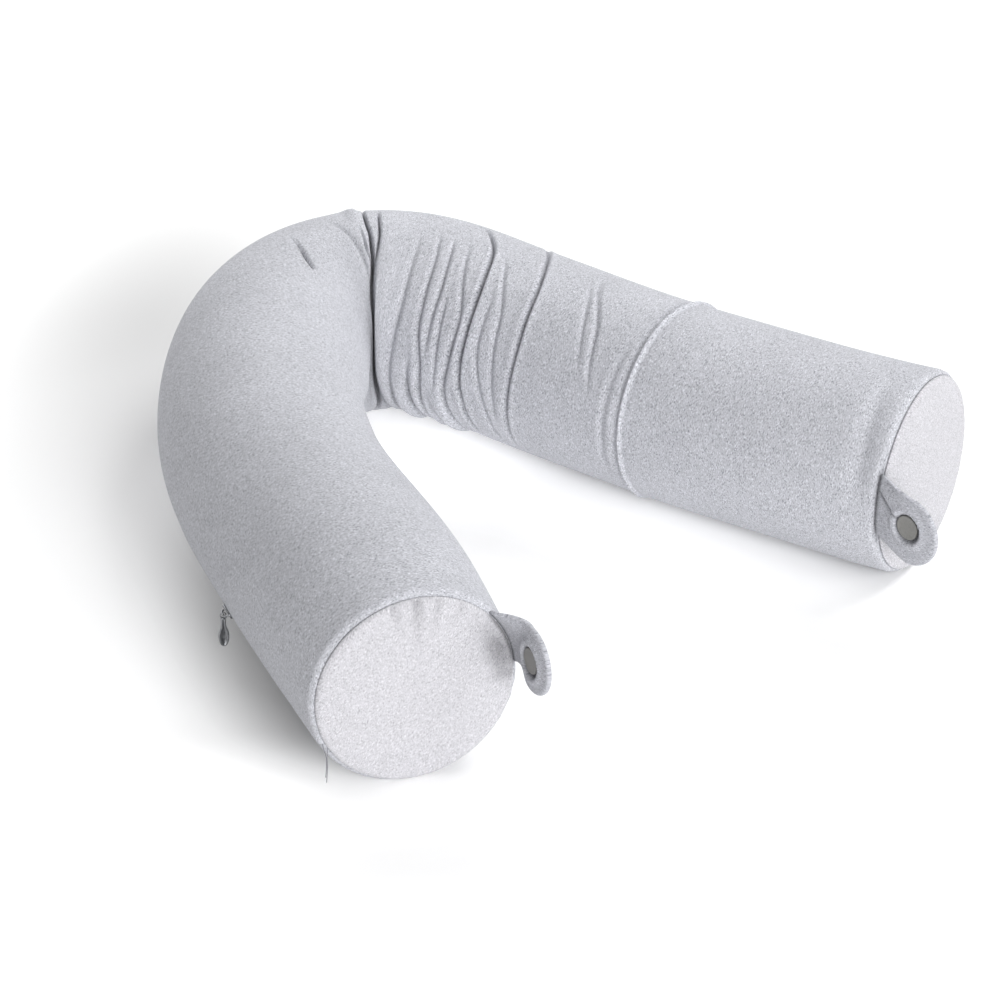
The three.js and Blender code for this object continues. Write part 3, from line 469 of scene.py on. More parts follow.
# Plastic, enamel and threads: two colours, grain in metres, least and greatest roughness, relief in metres,
# and whether it is metal.
Finish = namedtuple("Finish", "first second grain smooth rough relief metal")
FINISHES = {
    "snap_plastic": Finish((0.158, 0.156, 0.148), (0.198, 0.195, 0.185), 0.0009, 0.34, 0.50, 0.00002, 0),
    "zip_metal": Finish((0.22, 0.226, 0.236), (0.33, 0.337, 0.35), 0.0012, 0.28, 0.46, 0.00003, 1),
    "thread_end": Finish((0.13, 0.132, 0.15), (0.22, 0.223, 0.245), 0.0005, 0.75, 0.95, 0.00004, 0),
    "seam_thread": Finish((0.26, 0.264, 0.29), (0.38, 0.385, 0.42), 0.0005, 0.75, 0.95, 0.00004, 0),
}


def ease(t):
    held = np.clip(t, 0.0, 1.0)
    return held * held * (3 - 2 * held)


def table_at(rows, column, x):
    """Smooth values of one column of a table at x, with the rows in order of their first column."""
    keys = np.array([row[0] for row in rows], float)
    values = np.array([row[column] for row in rows], float)
    x = np.clip(x, keys[0], keys[-1])
    i = np.clip(np.searchsorted(keys, x) - 1, 0, len(keys) - 2)
    before = np.maximum(i - 1, 0)
    after = np.minimum(i + 2, len(keys) - 1)
    span = keys[i + 1] - keys[i]
    start_slope = (values[i + 1] - values[before]) / (keys[i + 1] - keys[before])
    end_slope = (values[after] - values[i]) / (keys[after] - keys[i])
    t = (x - keys[i]) / span
    return (
        values[i] * (2 * t**3 - 3 * t**2 + 1)
        + start_slope * span * (t**3 - 2 * t**2 + t)
        + values[i + 1] * (3 * t**2 - 2 * t**3)
        + end_slope * span * (t**3 - t**2)
    )


def sharp_turn(along):
    """Turn so far along the roll, in degrees, with sharp changes between stretches."""
    beyond = 100
    first, last = STRETCHES[0], STRETCHES[-1]
    places = np.cumsum([0] + [stretch.length for stretch in STRETCHES]).astype(float)
    turns = np.cumsum([0] + [stretch.turn for stretch in STRETCHES]).astype(float)
    places = np.concatenate([[-beyond], places, [places[-1] + beyond]])
    before = -beyond * first.turn / first.length
    after = turns[-1] + beyond * last.turn / last.length
    return np.interp(along, places, np.concatenate([[before], turns, [after]]))


def heading_at(along):
    samples = 13
    parts = [sharp_turn(along + TURN_FADE * (2 * i / (samples - 1) - 1)) for i in range(samples)]
    return np.radians(START["heading"] + sum(parts) / samples)


MIDDLE_STEP = 0.5
middle_places = np.arange(0, ROLL_LENGTH + MIDDLE_STEP / 2, MIDDLE_STEP)
step_headings = heading_at(middle_places[:-1] + MIDDLE_STEP / 2)
middle_x = START["x"] + np.concatenate([[0], np.cumsum(MIDDLE_STEP * np.cos(step_headings))])
middle_y = START["y"] + np.concatenate([[0], np.cumsum(MIDDLE_STEP * np.sin(step_headings))])


def middle_at(along):
    return np.interp(along, middle_places, middle_x), np.interp(along, middle_places, middle_y)


def radius_at(along):
    return table_at(GIRTH, 1, along)


def bend_at(along):
    return (heading_at(along + 1) - heading_at(along - 1)) / 2


def stretch_lines():
    """Shallow folds that fan out from the crotch over the shoulder."""
    uneven = np.random.default_rng(STRETCH_SEED)
    lines = []
    for i in range(STRETCH_LINES):
        depth = STRETCH_DEPTH * uneven.uniform(0.5, 1)
        wander = uneven.uniform(-STRETCH_WANDER, STRETCH_WANDER)
        shape = zip(STRETCH_PATH, (0, 0, 0, wander), (0, depth, depth, 0))
        path = [(angle + more, along - step * i, deep) for (angle, along, step), more, deep in shape]
        name = f"stretch line {i}"
        lines.append(Fold(name, STRETCH_WIDTH, STRETCH_WIDTH, STRETCH_LIP, STRETCH_LIP, path))
    return lines


def cloth_scale(along, degrees, bend):
    """How long a length of the middle line is on the roll's surface."""
    return np.maximum(LEAST_SCALE, 1 - bend * radius_at(along) * np.sin(np.radians(degrees)))


def fold_height(along, degrees, bend):
    """Height of the folds, below zero in a trough."""
    scale = cloth_scale(along, degrees, bend)
    height = np.zeros(np.broadcast(along, degrees).shape)
    for fold in FOLDS + stretch_lines():
        place = table_at(fold.path, 1, degrees)
        depth = table_at(fold.path, 2, degrees)
        across = (along - place) * scale
        off = across / np.where(along < place, fold.near_width, fold.far_width)
        height -= depth * np.exp(-(off**2))
        height += depth * fold.near_lip * np.exp(-((off + LIP_PLACE) ** 2))
        height += depth * fold.far_lip * np.exp(-((off - LIP_PLACE) ** 2))
        crease = CREASES.get(fold.name)
        if crease:
            height -= depth * crease.share * np.exp(-((across / crease.width) ** 2))
    return height


def painted_crease_shade(along, degrees, bend):
    """Painted shade of the roll's cloth in its creases, from 0 to 1, by how deep the cloth lies in a
    crease.
    """
    scale = cloth_scale(along, degrees, bend)
    mark = np.zeros(np.broadcast(along, degrees).shape)
    for fold in FOLDS:
        crease = CREASES.get(fold.name)
        if crease:
            across = (along - table_at(fold.path, 1, degrees)) * scale / (CREASE_SPREAD * crease.width)
            depth = table_at(fold.path, 2, degrees) * crease.share / CREASE_FULL
            mark = np.maximum(mark, np.minimum(1, depth) * np.exp(-(across**2)))
    return mark


def cloth_height(along, degrees):
    """Small unevenness of the filled cloth: soft swells, puckers at the end seams, the zip seam's groove.

    The waves' lengths are uneven, so that no pattern shows.
    """
    angle = np.radians(degrees)
    swell = SWELL_LONG * np.sin(along / 37 + 1.3 * np.cos(angle) + 0.4) * np.cos(2 * angle + along / 90)
    swell = swell + SWELL_SHORT * np.sin(along / 17 + 2 * np.sin(angle)) * np.cos(3 * angle + 1.1)
    from_end = np.minimum(along, ROLL_LENGTH - along)
    ripple = np.sin(29 * angle + 0.4) + 0.6 * np.sin(47 * angle + 2.0)
    pucker = PUCKER_HEIGHT * ripple * np.exp(-((from_end / PUCKER_REACH) ** 2))
    from_seam = np.radians((degrees - ZIP_ANGLE + 180) % 360 - 180) * radius_at(along)
    from_lip = (np.abs(from_seam) - ZIP_GROOVE["lip_off"]) / ZIP_GROOVE["lip_width"]
    seam = ZIP_GROOVE["lip"] * np.exp(-(from_lip**2))
    seam = seam - ZIP_GROOVE["depth"] * np.exp(-((from_seam / ZIP_GROOVE["width"]) ** 2))
    return swell * ease(from_end / SWELL_FADE) + pucker + seam * ease(from_end / SEAM_FADE)


def lean_at(along, degrees):
    """How far the inner side of the bend is pushed back toward the near arm."""
    from_bend = np.abs(along - LEAN["along"])
    lengthwise = 1 - ease((from_bend - LEAN["held"]) / (LEAN["gone"] - LEAN["held"]))
    inner = ease((-np.sin(np.radians(degrees)) - LEAN_SIDE["from"]) / LEAN_SIDE["span"])
    low = ease((-degrees - LEAN_LOW["from"]) / LEAN_LOW["span"])
    return LEAN["shift"] * lengthwise * inner * (1 - low)


def rim_inset(along):
    from_end = np.minimum(along, ROLL_LENGTH - along)
    short = np.clip(RIM_ROUND - from_end, 0, RIM_ROUND)
    return RIM_ROUND - np.sqrt(RIM_ROUND**2 - short**2)


def roll_points(along, degrees):
    """Points of the roll's surface. The angle is 0 on top and positive toward the left of the heading."""
    angle = np.radians(degrees)
    bend = bend_at(along)
    heading = heading_at(along)
    x, y = middle_at(along)
    radius = radius_at(along)
    reach = radius + fold_height(along, degrees, bend) + cloth_height(along, degrees) - rim_inset(along)
    inner_limit = 1 / np.maximum(1e-4, -bend) - CROTCH_RADIUS
    side = reach * np.sin(angle)
    spare = np.minimum((inner_limit + side) / CROTCH_SOFT, MOST_EXPONENT)
    flattened = CROTCH_SOFT * np.log1p(np.exp(spare)) - inner_limit
    side = np.where(-side > inner_limit - CROTCH_REACH * CROTCH_SOFT, flattened, side)
    lean = lean_at(along, degrees)
    lean_heading = heading_at(LEAN["along"])
    return np.stack(
        [
            x - side * np.sin(heading) - lean * np.cos(lean_heading),
            y + side * np.cos(heading) - lean * np.sin(lean_heading),
            np.maximum(0, radius - SAG + reach * np.cos(angle)),
        ],
        axis=-1,
    )


def band_values(bands):
    values = [bands[0][0]]
    for start, stop, steps in bands:
        values += [start + (stop - start) * i / steps for i in range(1, steps + 1)]
    return np.array(values, float)


def new_object(name, data):
    made = bpy.data.objects.new(name, data)
    bpy.context.scene.collection.objects.link(made)
    return made


def piece_of(bm, name, material):
    """Makes a piece of a bmesh whose points are in metres in the row frame."""
    mesh = bpy.data.meshes.new(name)
    bm.to_mesh(mesh)
    bm.free()
    for face in mesh.polygons:
        face.use_smooth = True
    mesh.materials.append(material)
    return new_object(name, mesh)


def new_grid(columns, rows):
    """A flat grid with a UV map and room for marks of painted shade, and each point's column and row."""
    bm = bmesh.new()
    bm.loops.layers.uv.new("UVMap")
    bm.verts.layers.float.new("crease")
    bmesh.ops.create_grid(bm, x_segments=columns, y_segments=rows, size=0.5, calc_uvs=True)
    bm.verts.ensure_lookup_table()
    share = np.array([vert.co[:2] for vert in bm.verts]) + 0.5
    return bm, np.rint(share[:, 0] * columns).astype(int), np.rint(share[:, 1] * rows).astype(int)


def paint_shade_marks(bm, marks):
    # Each point's mark of painted shade goes into the crease attribute, which darkens the cloth's colour.
    layer = bm.verts.layers.float["crease"]
    for vert, mark in zip(bm.verts, marks):
        vert[layer] = float(mark)


def lay_cloth(bm, uv_of):
    """Sets the UV of every face's corners from their points."""
    layer = bm.loops.layers.uv["UVMap"]
    for face in bm.faces:
        for loop in face.loops:
            loop[layer].uv = uv_of(loop.vert)


def slanted(along, turned):
    """Places along the roll of the grid's points, whose rows lean along with the folds."""
    fade_in = ease((along - SLANT_IN[0]) / (SLANT_IN[1] - SLANT_IN[0]))
    fade_out = ease((along - SLANT_OUT[0]) / (SLANT_OUT[1] - SLANT_OUT[0]))
    return along + table_at(ROW_SLANT, 1, turned) * fade_in * (1 - fade_out)


def cloth_along(along):
    """Length of cloth along the roll, which runs on round the edges of its ends."""
    from_end = np.minimum(along, ROLL_LENGTH - along)
    short = np.clip(RIM_ROUND - from_end, 0, RIM_ROUND)
    more = RIM_ROUND * np.arcsin(short / RIM_ROUND) - short
    return along + np.where(along < ROLL_LENGTH / 2, -more, more)


def jersey_roll(material):
    rim = [part * RIM_ROUND for part in RIM_PARTS]
    rows = np.concatenate([rim, band_values(ROW_BANDS), [ROLL_LENGTH - part for part in reversed(rim)]])
    columns = band_values(COLUMN_BANDS)
    bm, column, row = new_grid(len(columns) - 1, len(rows) - 1)
    turned = columns[column]
    along = slanted(rows[row], turned)
    degrees = np.where(turned < -180, turned + 360, turned)
    points = roll_points(along, degrees)
    arc = np.radians(turned - columns[0]) * radius_at(along)
    uv = np.stack([cloth_along(along), arc], axis=-1) * MM
    for vert, point in zip(bm.verts, points * MM):
        vert.co = point
    lay_cloth(bm, lambda vert: uv[vert.index])
    # Painted shade in the roll's creases, kept as a mark on each point.
    paint_shade_marks(bm, painted_crease_shade(along, degrees, bend_at(along)))
    bmesh.ops.remove_doubles(bm, verts=bm.verts, dist=2e-6)
    rims = [edge for edge in bm.edges if edge.is_boundary]
    for edge in rims:
        edge.smooth = False
    bmesh.ops.holes_fill(bm, edges=rims, sides=0)
    bmesh.ops.recalc_face_normals(bm, faces=bm.faces)
    return piece_of(bm, "jersey_roll", material)


EndFrame = namedtuple("EndFrame", "name radius middle out inward up")


def end_frame(name):
    """Where one end of the roll faces: outward, toward the inside of the U, and up, from its middle."""
    along = 0 if name == "near" else ROLL_LENGTH
    heading = float(heading_at(along))
    forward = Vector((math.cos(heading), math.sin(heading), 0))
    x, y = middle_at(along)
    radius = float(radius_at(along))
    out = -forward if name == "near" else forward
    inward = Vector((forward.y, -forward.x, 0))
    return EndFrame(name, radius, Vector((x, y, radius - SAG)), out, inward, Vector((0, 0, 1)))


def basis_at(origin, x_way, y_way, z_way):
    """The matrix from a piece's own millimetres, on three given ways from an origin, to the row frame."""
    turn = Matrix((x_way, y_way, z_way)).transposed().to_4x4()
    return Matrix.Scale(MM, 4) @ Matrix.Translation(origin) @ turn


def end_basis(end):
    return basis_at(end.middle, end.inward, end.up, end.out)


def spun(profile, steps):
    """A closed solid from a profile of (radius, height) pairs that starts and ends on the axis."""
    bm = bmesh.new()
    points = [bm.verts.new((radius, 0, height)) for radius, height in profile]
    edges = [bm.edges.new(pair) for pair in zip(points, points[1:])]
    geom = points + edges
    turn = 2 * math.pi
    bmesh.ops.spin(bm, geom=geom, axis=(0, 0, 1), cent=(0, 0, 0), steps=steps, angle=turn, use_merge=True)
    bmesh.ops.remove_doubles(bm, verts=bm.verts, dist=1e-3)
    return bm


def set_down(bm, matrix, name, material):
    """Takes a bmesh from its own millimetres to its place, and makes a piece of it."""
    bmesh.ops.transform(bm, matrix=matrix, verts=bm.verts)
    bmesh.ops.recalc_face_normals(bm, faces=bm.faces)
    return piece_of(bm, name, material)


def panel_height(radius, rim):
    """Height of an end panel over its seam: a low dome with a rolled edge."""
    part = np.clip((radius - (rim - PANEL_EDGE)) / PANEL_EDGE, 0, 1)
    edge = PANEL_RIM * np.sqrt(1 - part**2)
    return edge + PANEL_DOME * (1 - (radius / rim) ** PANEL_DOME_POWER)


def turn_between(degrees, other):
    return (degrees - other + 180) % 360 - 180


def gather_depth(end, rim, radius, angle):
    """How deep an end panel is drawn in by its gathers, and by the pull of the tab in its seam."""
    uneven = np.random.default_rng(SMALL_SEEDS[end.name])
    small = []
    for step in range(SMALL_GATHERS):
        place = (step + uneven.uniform(-SMALL_WANDER, SMALL_WANDER)) * 360 / SMALL_GATHERS
        drawn = uneven.uniform(*SMALL_DEPTH)
        small.append(Gather(place, drawn, uneven.uniform(*SMALL_WIDTH), SMALL_LENGTH))
    depth = np.zeros_like(radius)
    for gather in GATHERS[end.name] + small:
        across = np.radians(turn_between(angle, gather.angle)) * radius / gather.width
        depth += gather.depth * np.exp(-(across**2)) * np.exp(-(((rim - radius) / gather.length) ** 2))
    beside_tab = turn_between(angle, TABS[end.name].root_angle + PULL_AT["turn"]) / PULL_AT["half_angle"]
    inward = (rim - PULL_AT["inward"] - radius) / PULL_AT["reach"]
    depth += PANEL_PULL[end.name] * np.exp(-(beside_tab**2)) * np.exp(-(inward**2))
    return depth


def end_panel(end, material):
    rim = end.radius - PANEL_INSET
    inner = np.linspace(0, rim - PANEL_EDGE, PANEL_RINGS)
    edge = rim - PANEL_EDGE + PANEL_EDGE * np.sin(np.linspace(0, math.pi / 2, PANEL_EDGE_RINGS))[1:]
    profile = [(r, GAP + panel_height(r, rim)) for r in np.concatenate([inner, edge])]
    bm = spun(profile + [(rim - PANEL_BACK_INSET, GAP), (0, GAP)], PANEL_SPIN)
    flat = np.array([vert.co for vert in bm.verts])
    radius = np.hypot(flat[:, 0], flat[:, 1])
    angle = np.degrees(np.arctan2(flat[:, 0], flat[:, 1]))
    raised = np.clip((flat[:, 2] - GAP) / PANEL_RIM, 0, 1)
    depths = gather_depth(end, rim, radius, angle) * raised
    for vert, depth in zip(bm.verts, depths):
        vert.co.z -= depth
    # Painted shade: darker cloth along the seam beside the tab's root, and where the panel is drawn in.
    bm.verts.layers.float.new("crease")
    seam_shade_by_tab = np.exp(-((turn_between(angle, TABS[end.name].root_angle) / PULL_AT["half_angle"]) ** 4))
    seam_shade_by_tab = CREASE_MOST * seam_shade_by_tab * np.exp(-(((rim - radius) / SEAM_SHADE_REACH) ** 2))
    paint_shade_marks(bm, np.maximum(seam_shade_by_tab, PANEL_SHADE * np.clip(depths / PANEL_FULL, 0, 1)))
    bm.loops.layers.uv.new("UVMap")
    lay_cloth(bm, lambda vert: ((vert.co.x + rim) * MM, (vert.co.y + rim) * MM))
    return set_down(bm, end_basis(end), f"{end.name}_end_panel", material)


TabSurface = namedtuple("TabSurface", "reach snap point_at")


def tab_surface(end):
    """The middle surface of a tab: from the end seam it eases into a flat upright round about its snap."""
    tab = TABS[end.name]
    rim = end.radius - TAB_ROOT_INSET

    def rim_point(across):
        angle = math.radians(tab.root_angle) - across / rim
        round_rim = end.inward * (rim * math.sin(angle)) + end.up * (rim * math.cos(angle))
        return end.middle + round_rim - end.out * TAB_ROOT_SUNK

    root = rim_point(0)
    snap = root + end.out * tab.out + end.inward * tab.inward + end.up * tab.up
    splay = math.radians(tab.splay)
    onward = end.out * math.cos(splay) + end.inward * math.sin(splay)
    across_snap = onward.cross(end.up).normalized()
    reach = (snap - root).length
    away = root - end.middle
    away = (away - end.out * away.dot(end.out)).normalized()
    leaving = (snap - root).normalized()
    leaving = (leaving + away * (math.tan(math.radians(tab.flare)) - leaving.dot(away))).normalized()
    arriving = snap - root
    arriving = (arriving - across_snap * arriving.dot(across_snap)).normalized()
    after_root = root + leaving * (reach * TAB_LEAVING)
    before_snap = snap - arriving * (reach * TAB_ARRIVING)

    def point_at(outward, across):
        t = min(1, outward / reach)
        spine = root * (1 - t) ** 3 + after_root * (3 * t * (1 - t) ** 2)
        spine = spine + before_snap * (3 * t**2 * (1 - t)) + snap * t**3
        spine = spine + onward * max(0, outward - reach)
        rooted = rim_point(across) + spine - root
        flat = spine + end.up * across
        return rooted.lerp(flat, float(ease(t * TAB_UPRIGHT)))

    return TabSurface(reach, snap, point_at)


def bump_at(off, width):
    return math.exp(-((off / width) ** 2))


def tab_relief(name, outward, across, from_snap, from_well, on_snap_side):
    """How far a face of a tab stands out of its plain form, and how much painted shade it takes.

    There are the snap's well and puffed rim, the seam at the root, and a crease across the far tab. The
    root seam, the well and the crease's groove take painted shade.
    """
    # Painted shade along the seam at the root.
    mark = ROOT_SEAM_SHADE["mark"] * (1 - float(ease(outward / ROOT_SEAM_SHADE["reach"])))
    if on_snap_side:
        well = 1 - float(ease((from_well - SNAP_RADIUS - SNAP_PLAY - WELL["wider"]) / WELL["edge"]))
        puff = PUFF["height"] * bump_at(from_snap - PUFF["radius"], PUFF["width"])
        relief = puff - (SNAP_RECESS + WELL["deeper"]) * well
        mark = max(mark, CREASE_MOST * well)
    else:
        beyond = float(ease((from_snap - SNAP_BACK["radius"]) / SNAP_BACK["edge"]))
        relief = SNAP_BACK["height"] * (1 - beyond)
    if name == "far":
        creased = float(ease(outward / LAP_LINE["fade_in"]))
        creased *= 1 - float(ease((outward - LAP_LINE["held"]) / LAP_LINE["fade_out"]))
        from_crease = across - LAP_LINE["across"] + LAP_LINE["slope"] * outward
        side = 1 if on_snap_side else -1
        overlap = float(ease(from_crease / LAP["rise"]))
        overlap *= 1 - float(ease((from_crease - LAP["held"]) / LAP["fall"]))
        groove = LAP_GROOVE["depth"] * bump_at(from_crease + LAP_GROOVE["off"], LAP_GROOVE["width"])
        relief += side * creased * (LAP["height"] * overlap - groove)
        shade = LAP_SHADE["mark"] * creased * bump_at(from_crease + LAP_SHADE["off"], LAP_SHADE["width"])
        mark = max(mark, shade)
    return relief, mark


def tab_half_thickness(outward, edge_distance):
    """Half the thickness of a tab: flat at its root, padded in its middle, and rounded at its edge."""
    grown = float(ease(outward / TAB_GROWN))
    edge_round = math.sqrt(1 - (1 - min(1, edge_distance / TAB_EDGE_ROUND)) ** 2)
    padding = math.sqrt(1 - (1 - min(1, edge_distance / TAB_PAD_EDGE)) ** 2)
    thin = TAB_ROOT_THICK + (TAB_EDGE_THICK - TAB_ROOT_THICK) * grown
    full = (TAB_THICK - thin) * grown * padding
    return (thin * (TAB_EDGE_LEAST + (1 - TAB_EDGE_LEAST) * edge_round) + full) / 2


def tab_rows(tab, reach):
    """Rows of a tab's grid from its root: how far outward, and half its width there."""
    rows = []
    for part in np.linspace(0, 1, TAB_STRAIGHT_ROWS + 1):
        half_root = TAB_ROOT_WIDTH / 2
        rows.append((part * reach, half_root + (tab.round - half_root) * float(ease(part))))
    for angle in np.radians(np.linspace(0, TAB_ROUND_ANGLE, TAB_ROUND_ROWS + 1)[1:]):
        rows.append((reach + tab.round * math.sin(angle), tab.round * math.cos(angle)))
    return rows


def snap_tab(end, material):
    tab = TABS[end.name]
    surface = tab_surface(end)
    rows = tab_rows(tab, surface.reach)
    shares = np.sin(np.linspace(-1, 1, TAB_COLUMNS + 1) * math.pi / 2)
    bm, column, row = new_grid(TAB_COLUMNS, len(rows) - 1)
    for vert, c, r in zip(bm.verts, column, row):
        outward, half = rows[r]
        vert.co = (shares[c] * half, outward, 0)
    lay_cloth(bm, lambda vert: ((vert.co.x + 2 * tab.round) * MM, vert.co.y * MM))
    made = bmesh.ops.extrude_face_region(bm, geom=list(bm.faces), use_keep_orig=True)
    behind = {item for item in made["geom"] if isinstance(item, bmesh.types.BMVert)}
    snap = surface.snap + end.up * tab.lift
    well = snap + end.out * WELL_OFF - end.up * WELL_OFF
    marks = []
    for vert in bm.verts:
        across, outward, _ = vert.co
        if outward > surface.reach:
            edge_distance = tab.round - math.hypot(outward - surface.reach, across)
        else:
            edge_distance = float(np.interp(outward, *zip(*rows))) - abs(across)
        edge_distance = max(0, edge_distance)
        point = surface.point_at(outward, across)
        beside = [surface.point_at(outward, across + step) for step in (FACING_STEP, -FACING_STEP)]
        before = surface.point_at(max(0, outward - FACING_STEP), across)
        across_way = beside[0] - beside[1]
        onward_way = surface.point_at(outward + FACING_STEP, across) - before
        facing = across_way.cross(onward_way).normalized() * (-1 if vert in behind else 1)
        on_snap_side = facing.dot(end.inward) * tab.snap_side > 0
        from_snap = (point - snap).length
        from_well = (point - well).length
        relief, mark = tab_relief(end.name, outward, across, from_snap, from_well, on_snap_side)
        relief *= float(ease(edge_distance / RELIEF_FADE))
        marks.append(mark)
        vert.co = (point + facing * (tab_half_thickness(outward, edge_distance) + relief)) * MM
    paint_shade_marks(bm, marks)
    bmesh.ops.recalc_face_normals(bm, faces=bm.faces)
    return piece_of(bm, f"{end.name}_tab_cloth", material)


def tab_cut(end):
    """Width, length and area in metres of one layer of a tab as it was cut."""
    tab = TABS[end.name]
    reach = tab_surface(end).reach
    area = reach * (TAB_ROOT_WIDTH / 2 + tab.round) + math.pi * tab.round**2 / 2
    return 2 * tab.round * MM, (reach + tab.round) * MM, area * MM**2


def snap_half(end, material):
    """A snap's moulded half: a rounded rim round a shallow dished face, lying in the tab's well."""
    tab = TABS[end.name]
    splay = math.radians(tab.splay)
    face_way = (end.inward * math.cos(splay) - end.out * math.sin(splay)) * tab.snap_side
    profile = [(0, 0), (SNAP_RADIUS - SNAP_FOOT, 0), (SNAP_RADIUS, SNAP_FOOT)]
    for angle in np.radians((0, 30, 60, 90)):
        across = SNAP_RADIUS - SNAP_RIM + SNAP_RIM * math.cos(angle)
        profile.append((across, SNAP_THICK - SNAP_RIM + SNAP_RIM * math.sin(angle)))
    profile += [(SNAP_RADIUS - inward, SNAP_THICK - down) for inward, down in SNAP_DISH]
    profile += [(radius, SNAP_THICK - SNAP_FACE["down"]) for radius in (SNAP_FACE["radius"], 0)]
    floor = tab_surface(end).snap + end.up * tab.lift + face_way * (TAB_THICK / 2 - SNAP_RECESS + GAP)
    across_way = end.up.cross(face_way).normalized()
    matrix = basis_at(floor, across_way, end.up, face_way)
    return set_down(spun(profile, SNAP_SPIN), matrix, f"{end.name}_snap_half", material)


def seam_stitches(end, material):
    reach = end.radius - PANEL_INSET + STITCH_OUT
    count = round(2 * math.pi * reach / STITCH_PITCH)
    lean = Matrix.Rotation(math.radians(STITCH_LEAN), 4, "X")
    size = Matrix.Diagonal((STITCH_THICK / 2, STITCH_THICK / 2, STITCH_LENGTH / 2, 1))
    bm = bmesh.new()
    for i in range(count):
        turn = Matrix.Rotation(2 * math.pi * i / count, 4, "Z")
        place = turn @ Matrix.Translation((reach, 0, STITCH_LIFT)) @ lean @ size
        bmesh.ops.create_uvsphere(bm, u_segments=6, v_segments=5, radius=1, matrix=place)
    return set_down(bm, end_basis(end), f"{end.name}_seam_stitches", material)


def tube_mesh(lines, thick):
    """A bmesh of round tubes along lines of points in millimetres."""
    data = bpy.data.curves.new("tube_line", "CURVE")
    data.dimensions = "3D"
    data.bevel_depth = thick / 2
    data.bevel_resolution = 3
    data.use_fill_caps = True
    for line in lines:
        spline = data.splines.new("POLY")
        spline.points.add(len(line) - 1)
        for point, place in zip(spline.points, line):
            point.co = (*place, 1)
    drawn = new_object("tube_line", data)
    bpy.context.view_layer.update()
    mesh = bpy.data.meshes.new_from_object(drawn.evaluated_get(bpy.context.evaluated_depsgraph_get()))
    bpy.data.objects.remove(drawn)
    bm = bmesh.new()
    bm.from_mesh(mesh)
    bpy.data.meshes.remove(mesh)
    bmesh.ops.remove_doubles(bm, verts=bm.verts, dist=1e-4)
    return bm


def loose_thread(end, material):
    angle = math.radians(THREAD_ANGLE)
    reach = end.radius - PANEL_INSET
    lines = []
    for side in (-1, 1):
        line = []
        for drop in np.linspace(0, 1, THREAD_POINTS):
            parted = THREAD_APART["start"] * (1 - float(ease(drop / THREAD_APART["meet"])))
            wander = THREAD_WANDER["width"] * math.sin(drop * THREAD_WANDER["wave"]) * drop
            across = reach * math.sin(angle) + side * (parted + THREAD_APART["end"]) + wander
            fall = THREAD_DROP * drop * (1 if side > 0 else THREAD_SHORTER)
            off = THREAD_OFF["start"] + THREAD_OFF["more"] * drop
            line.append((across, reach * math.cos(angle) - fall, off))
        lines.append(line)
    bm = tube_mesh(lines, THREAD_THICK)
    return set_down(bm, end_basis(end), "loose_thread", material)


def plate_of(outline, thick, bevel):
    """A flat plate with rounded edges, of an outline of (x, y) points, with its underside at 0."""
    bm = bmesh.new()
    face = bm.faces.new([bm.verts.new((x, y, 0)) for x, y in outline])
    made = bmesh.ops.extrude_face_region(bm, geom=[face], use_keep_orig=True)
    raised = [item for item in made["geom"] if isinstance(item, bmesh.types.BMVert)]
    bmesh.ops.translate(bm, vec=(0, 0, thick), verts=raised)
    bmesh.ops.recalc_face_normals(bm, faces=bm.faces)
    flat = [edge for edge in bm.edges if abs(edge.verts[0].co.z - edge.verts[1].co.z) < 1e-6]
    bmesh.ops.bevel(bm, geom=flat, offset=bevel, segments=3, profile=0.5, affect="EDGES", material=-1)
    return bm


def curve_between(start, first, second, stop, steps=8):
    """Points of a cubic curve, without its last."""
    parts = np.linspace(0, 1, steps, endpoint=False)[:, None]
    ends = [np.array(point, float) for point in (start, first, second, stop)]
    curve = ends[0] * (1 - parts) ** 3 + ends[1] * 3 * parts * (1 - parts) ** 2
    return list(map(tuple, curve + ends[2] * 3 * parts**2 * (1 - parts) + ends[3] * parts**3))


def add_mesh(bm, other):
    """Adds another bmesh to a bmesh."""
    mesh = bpy.data.meshes.new("added")
    other.to_mesh(mesh)
    other.free()
    bm.from_mesh(mesh)
    bpy.data.meshes.remove(mesh)


def zip_ways():
    """The seat of the zip slider on the roll, and the ways along the zip, round the roll, and off it."""
    heading = float(heading_at(SLIDER_ALONG))
    angle = math.radians(ZIP_ANGLE)
    forward = Vector((math.cos(heading), math.sin(heading), 0))
    left = Vector((-forward.y, forward.x, 0))
    up = Vector((0, 0, 1))
    away = left * math.sin(angle) + up * math.cos(angle)
    x, y = middle_at(SLIDER_ALONG)
    radius = float(radius_at(SLIDER_ALONG))
    seat = Vector((x, y, radius - SAG)) + away * radius
    return seat, forward, away.cross(forward), away, left, up


def zip_slider_body(material):
    seat, forward, round_way, away, _, _ = zip_ways()
    half = SLIDER["length"] / 2
    wide = SLIDER["wide"] / 2
    narrow = SLIDER["narrow"] / 2
    side = [(-half, narrow - 0.8), (-half + 0.3, narrow - 0.2), (-half + 1, narrow), (half - 2, wide)]
    side += curve_between((half - 2, wide), (half - 0.6, wide), (half, wide * 0.6), (half, 0), 6)[1:]
    outline = side + [(x, -y) for x, y in reversed(side)]
    bm = plate_of(outline, SLIDER["thick"], 0.4)
    bmesh.ops.translate(bm, vec=(0, 0, GAP), verts=bm.verts)
    span = BRIDGE["half_span"]
    top = BRIDGE["height"]
    foot = GAP + SLIDER["thick"] / 2
    arch = [(-span, 0, foot)]
    arch += curve_between((-span, 0, foot + 0.5), (-span, 0, top), (-span * 0.8, 0, top), (0, 0, top), 8)
    arch += curve_between((0, 0, top), (span * 0.8, 0, top), (span, 0, top), (span, 0, foot + 0.5), 8)
    arch += [(span, 0, foot + 0.5), (span, 0, foot)]
    add_mesh(bm, tube_mesh([arch], 2 * BRIDGE["wire"]))
    return set_down(bm, basis_at(seat, forward, round_way, away), "zip_slider_body", material)


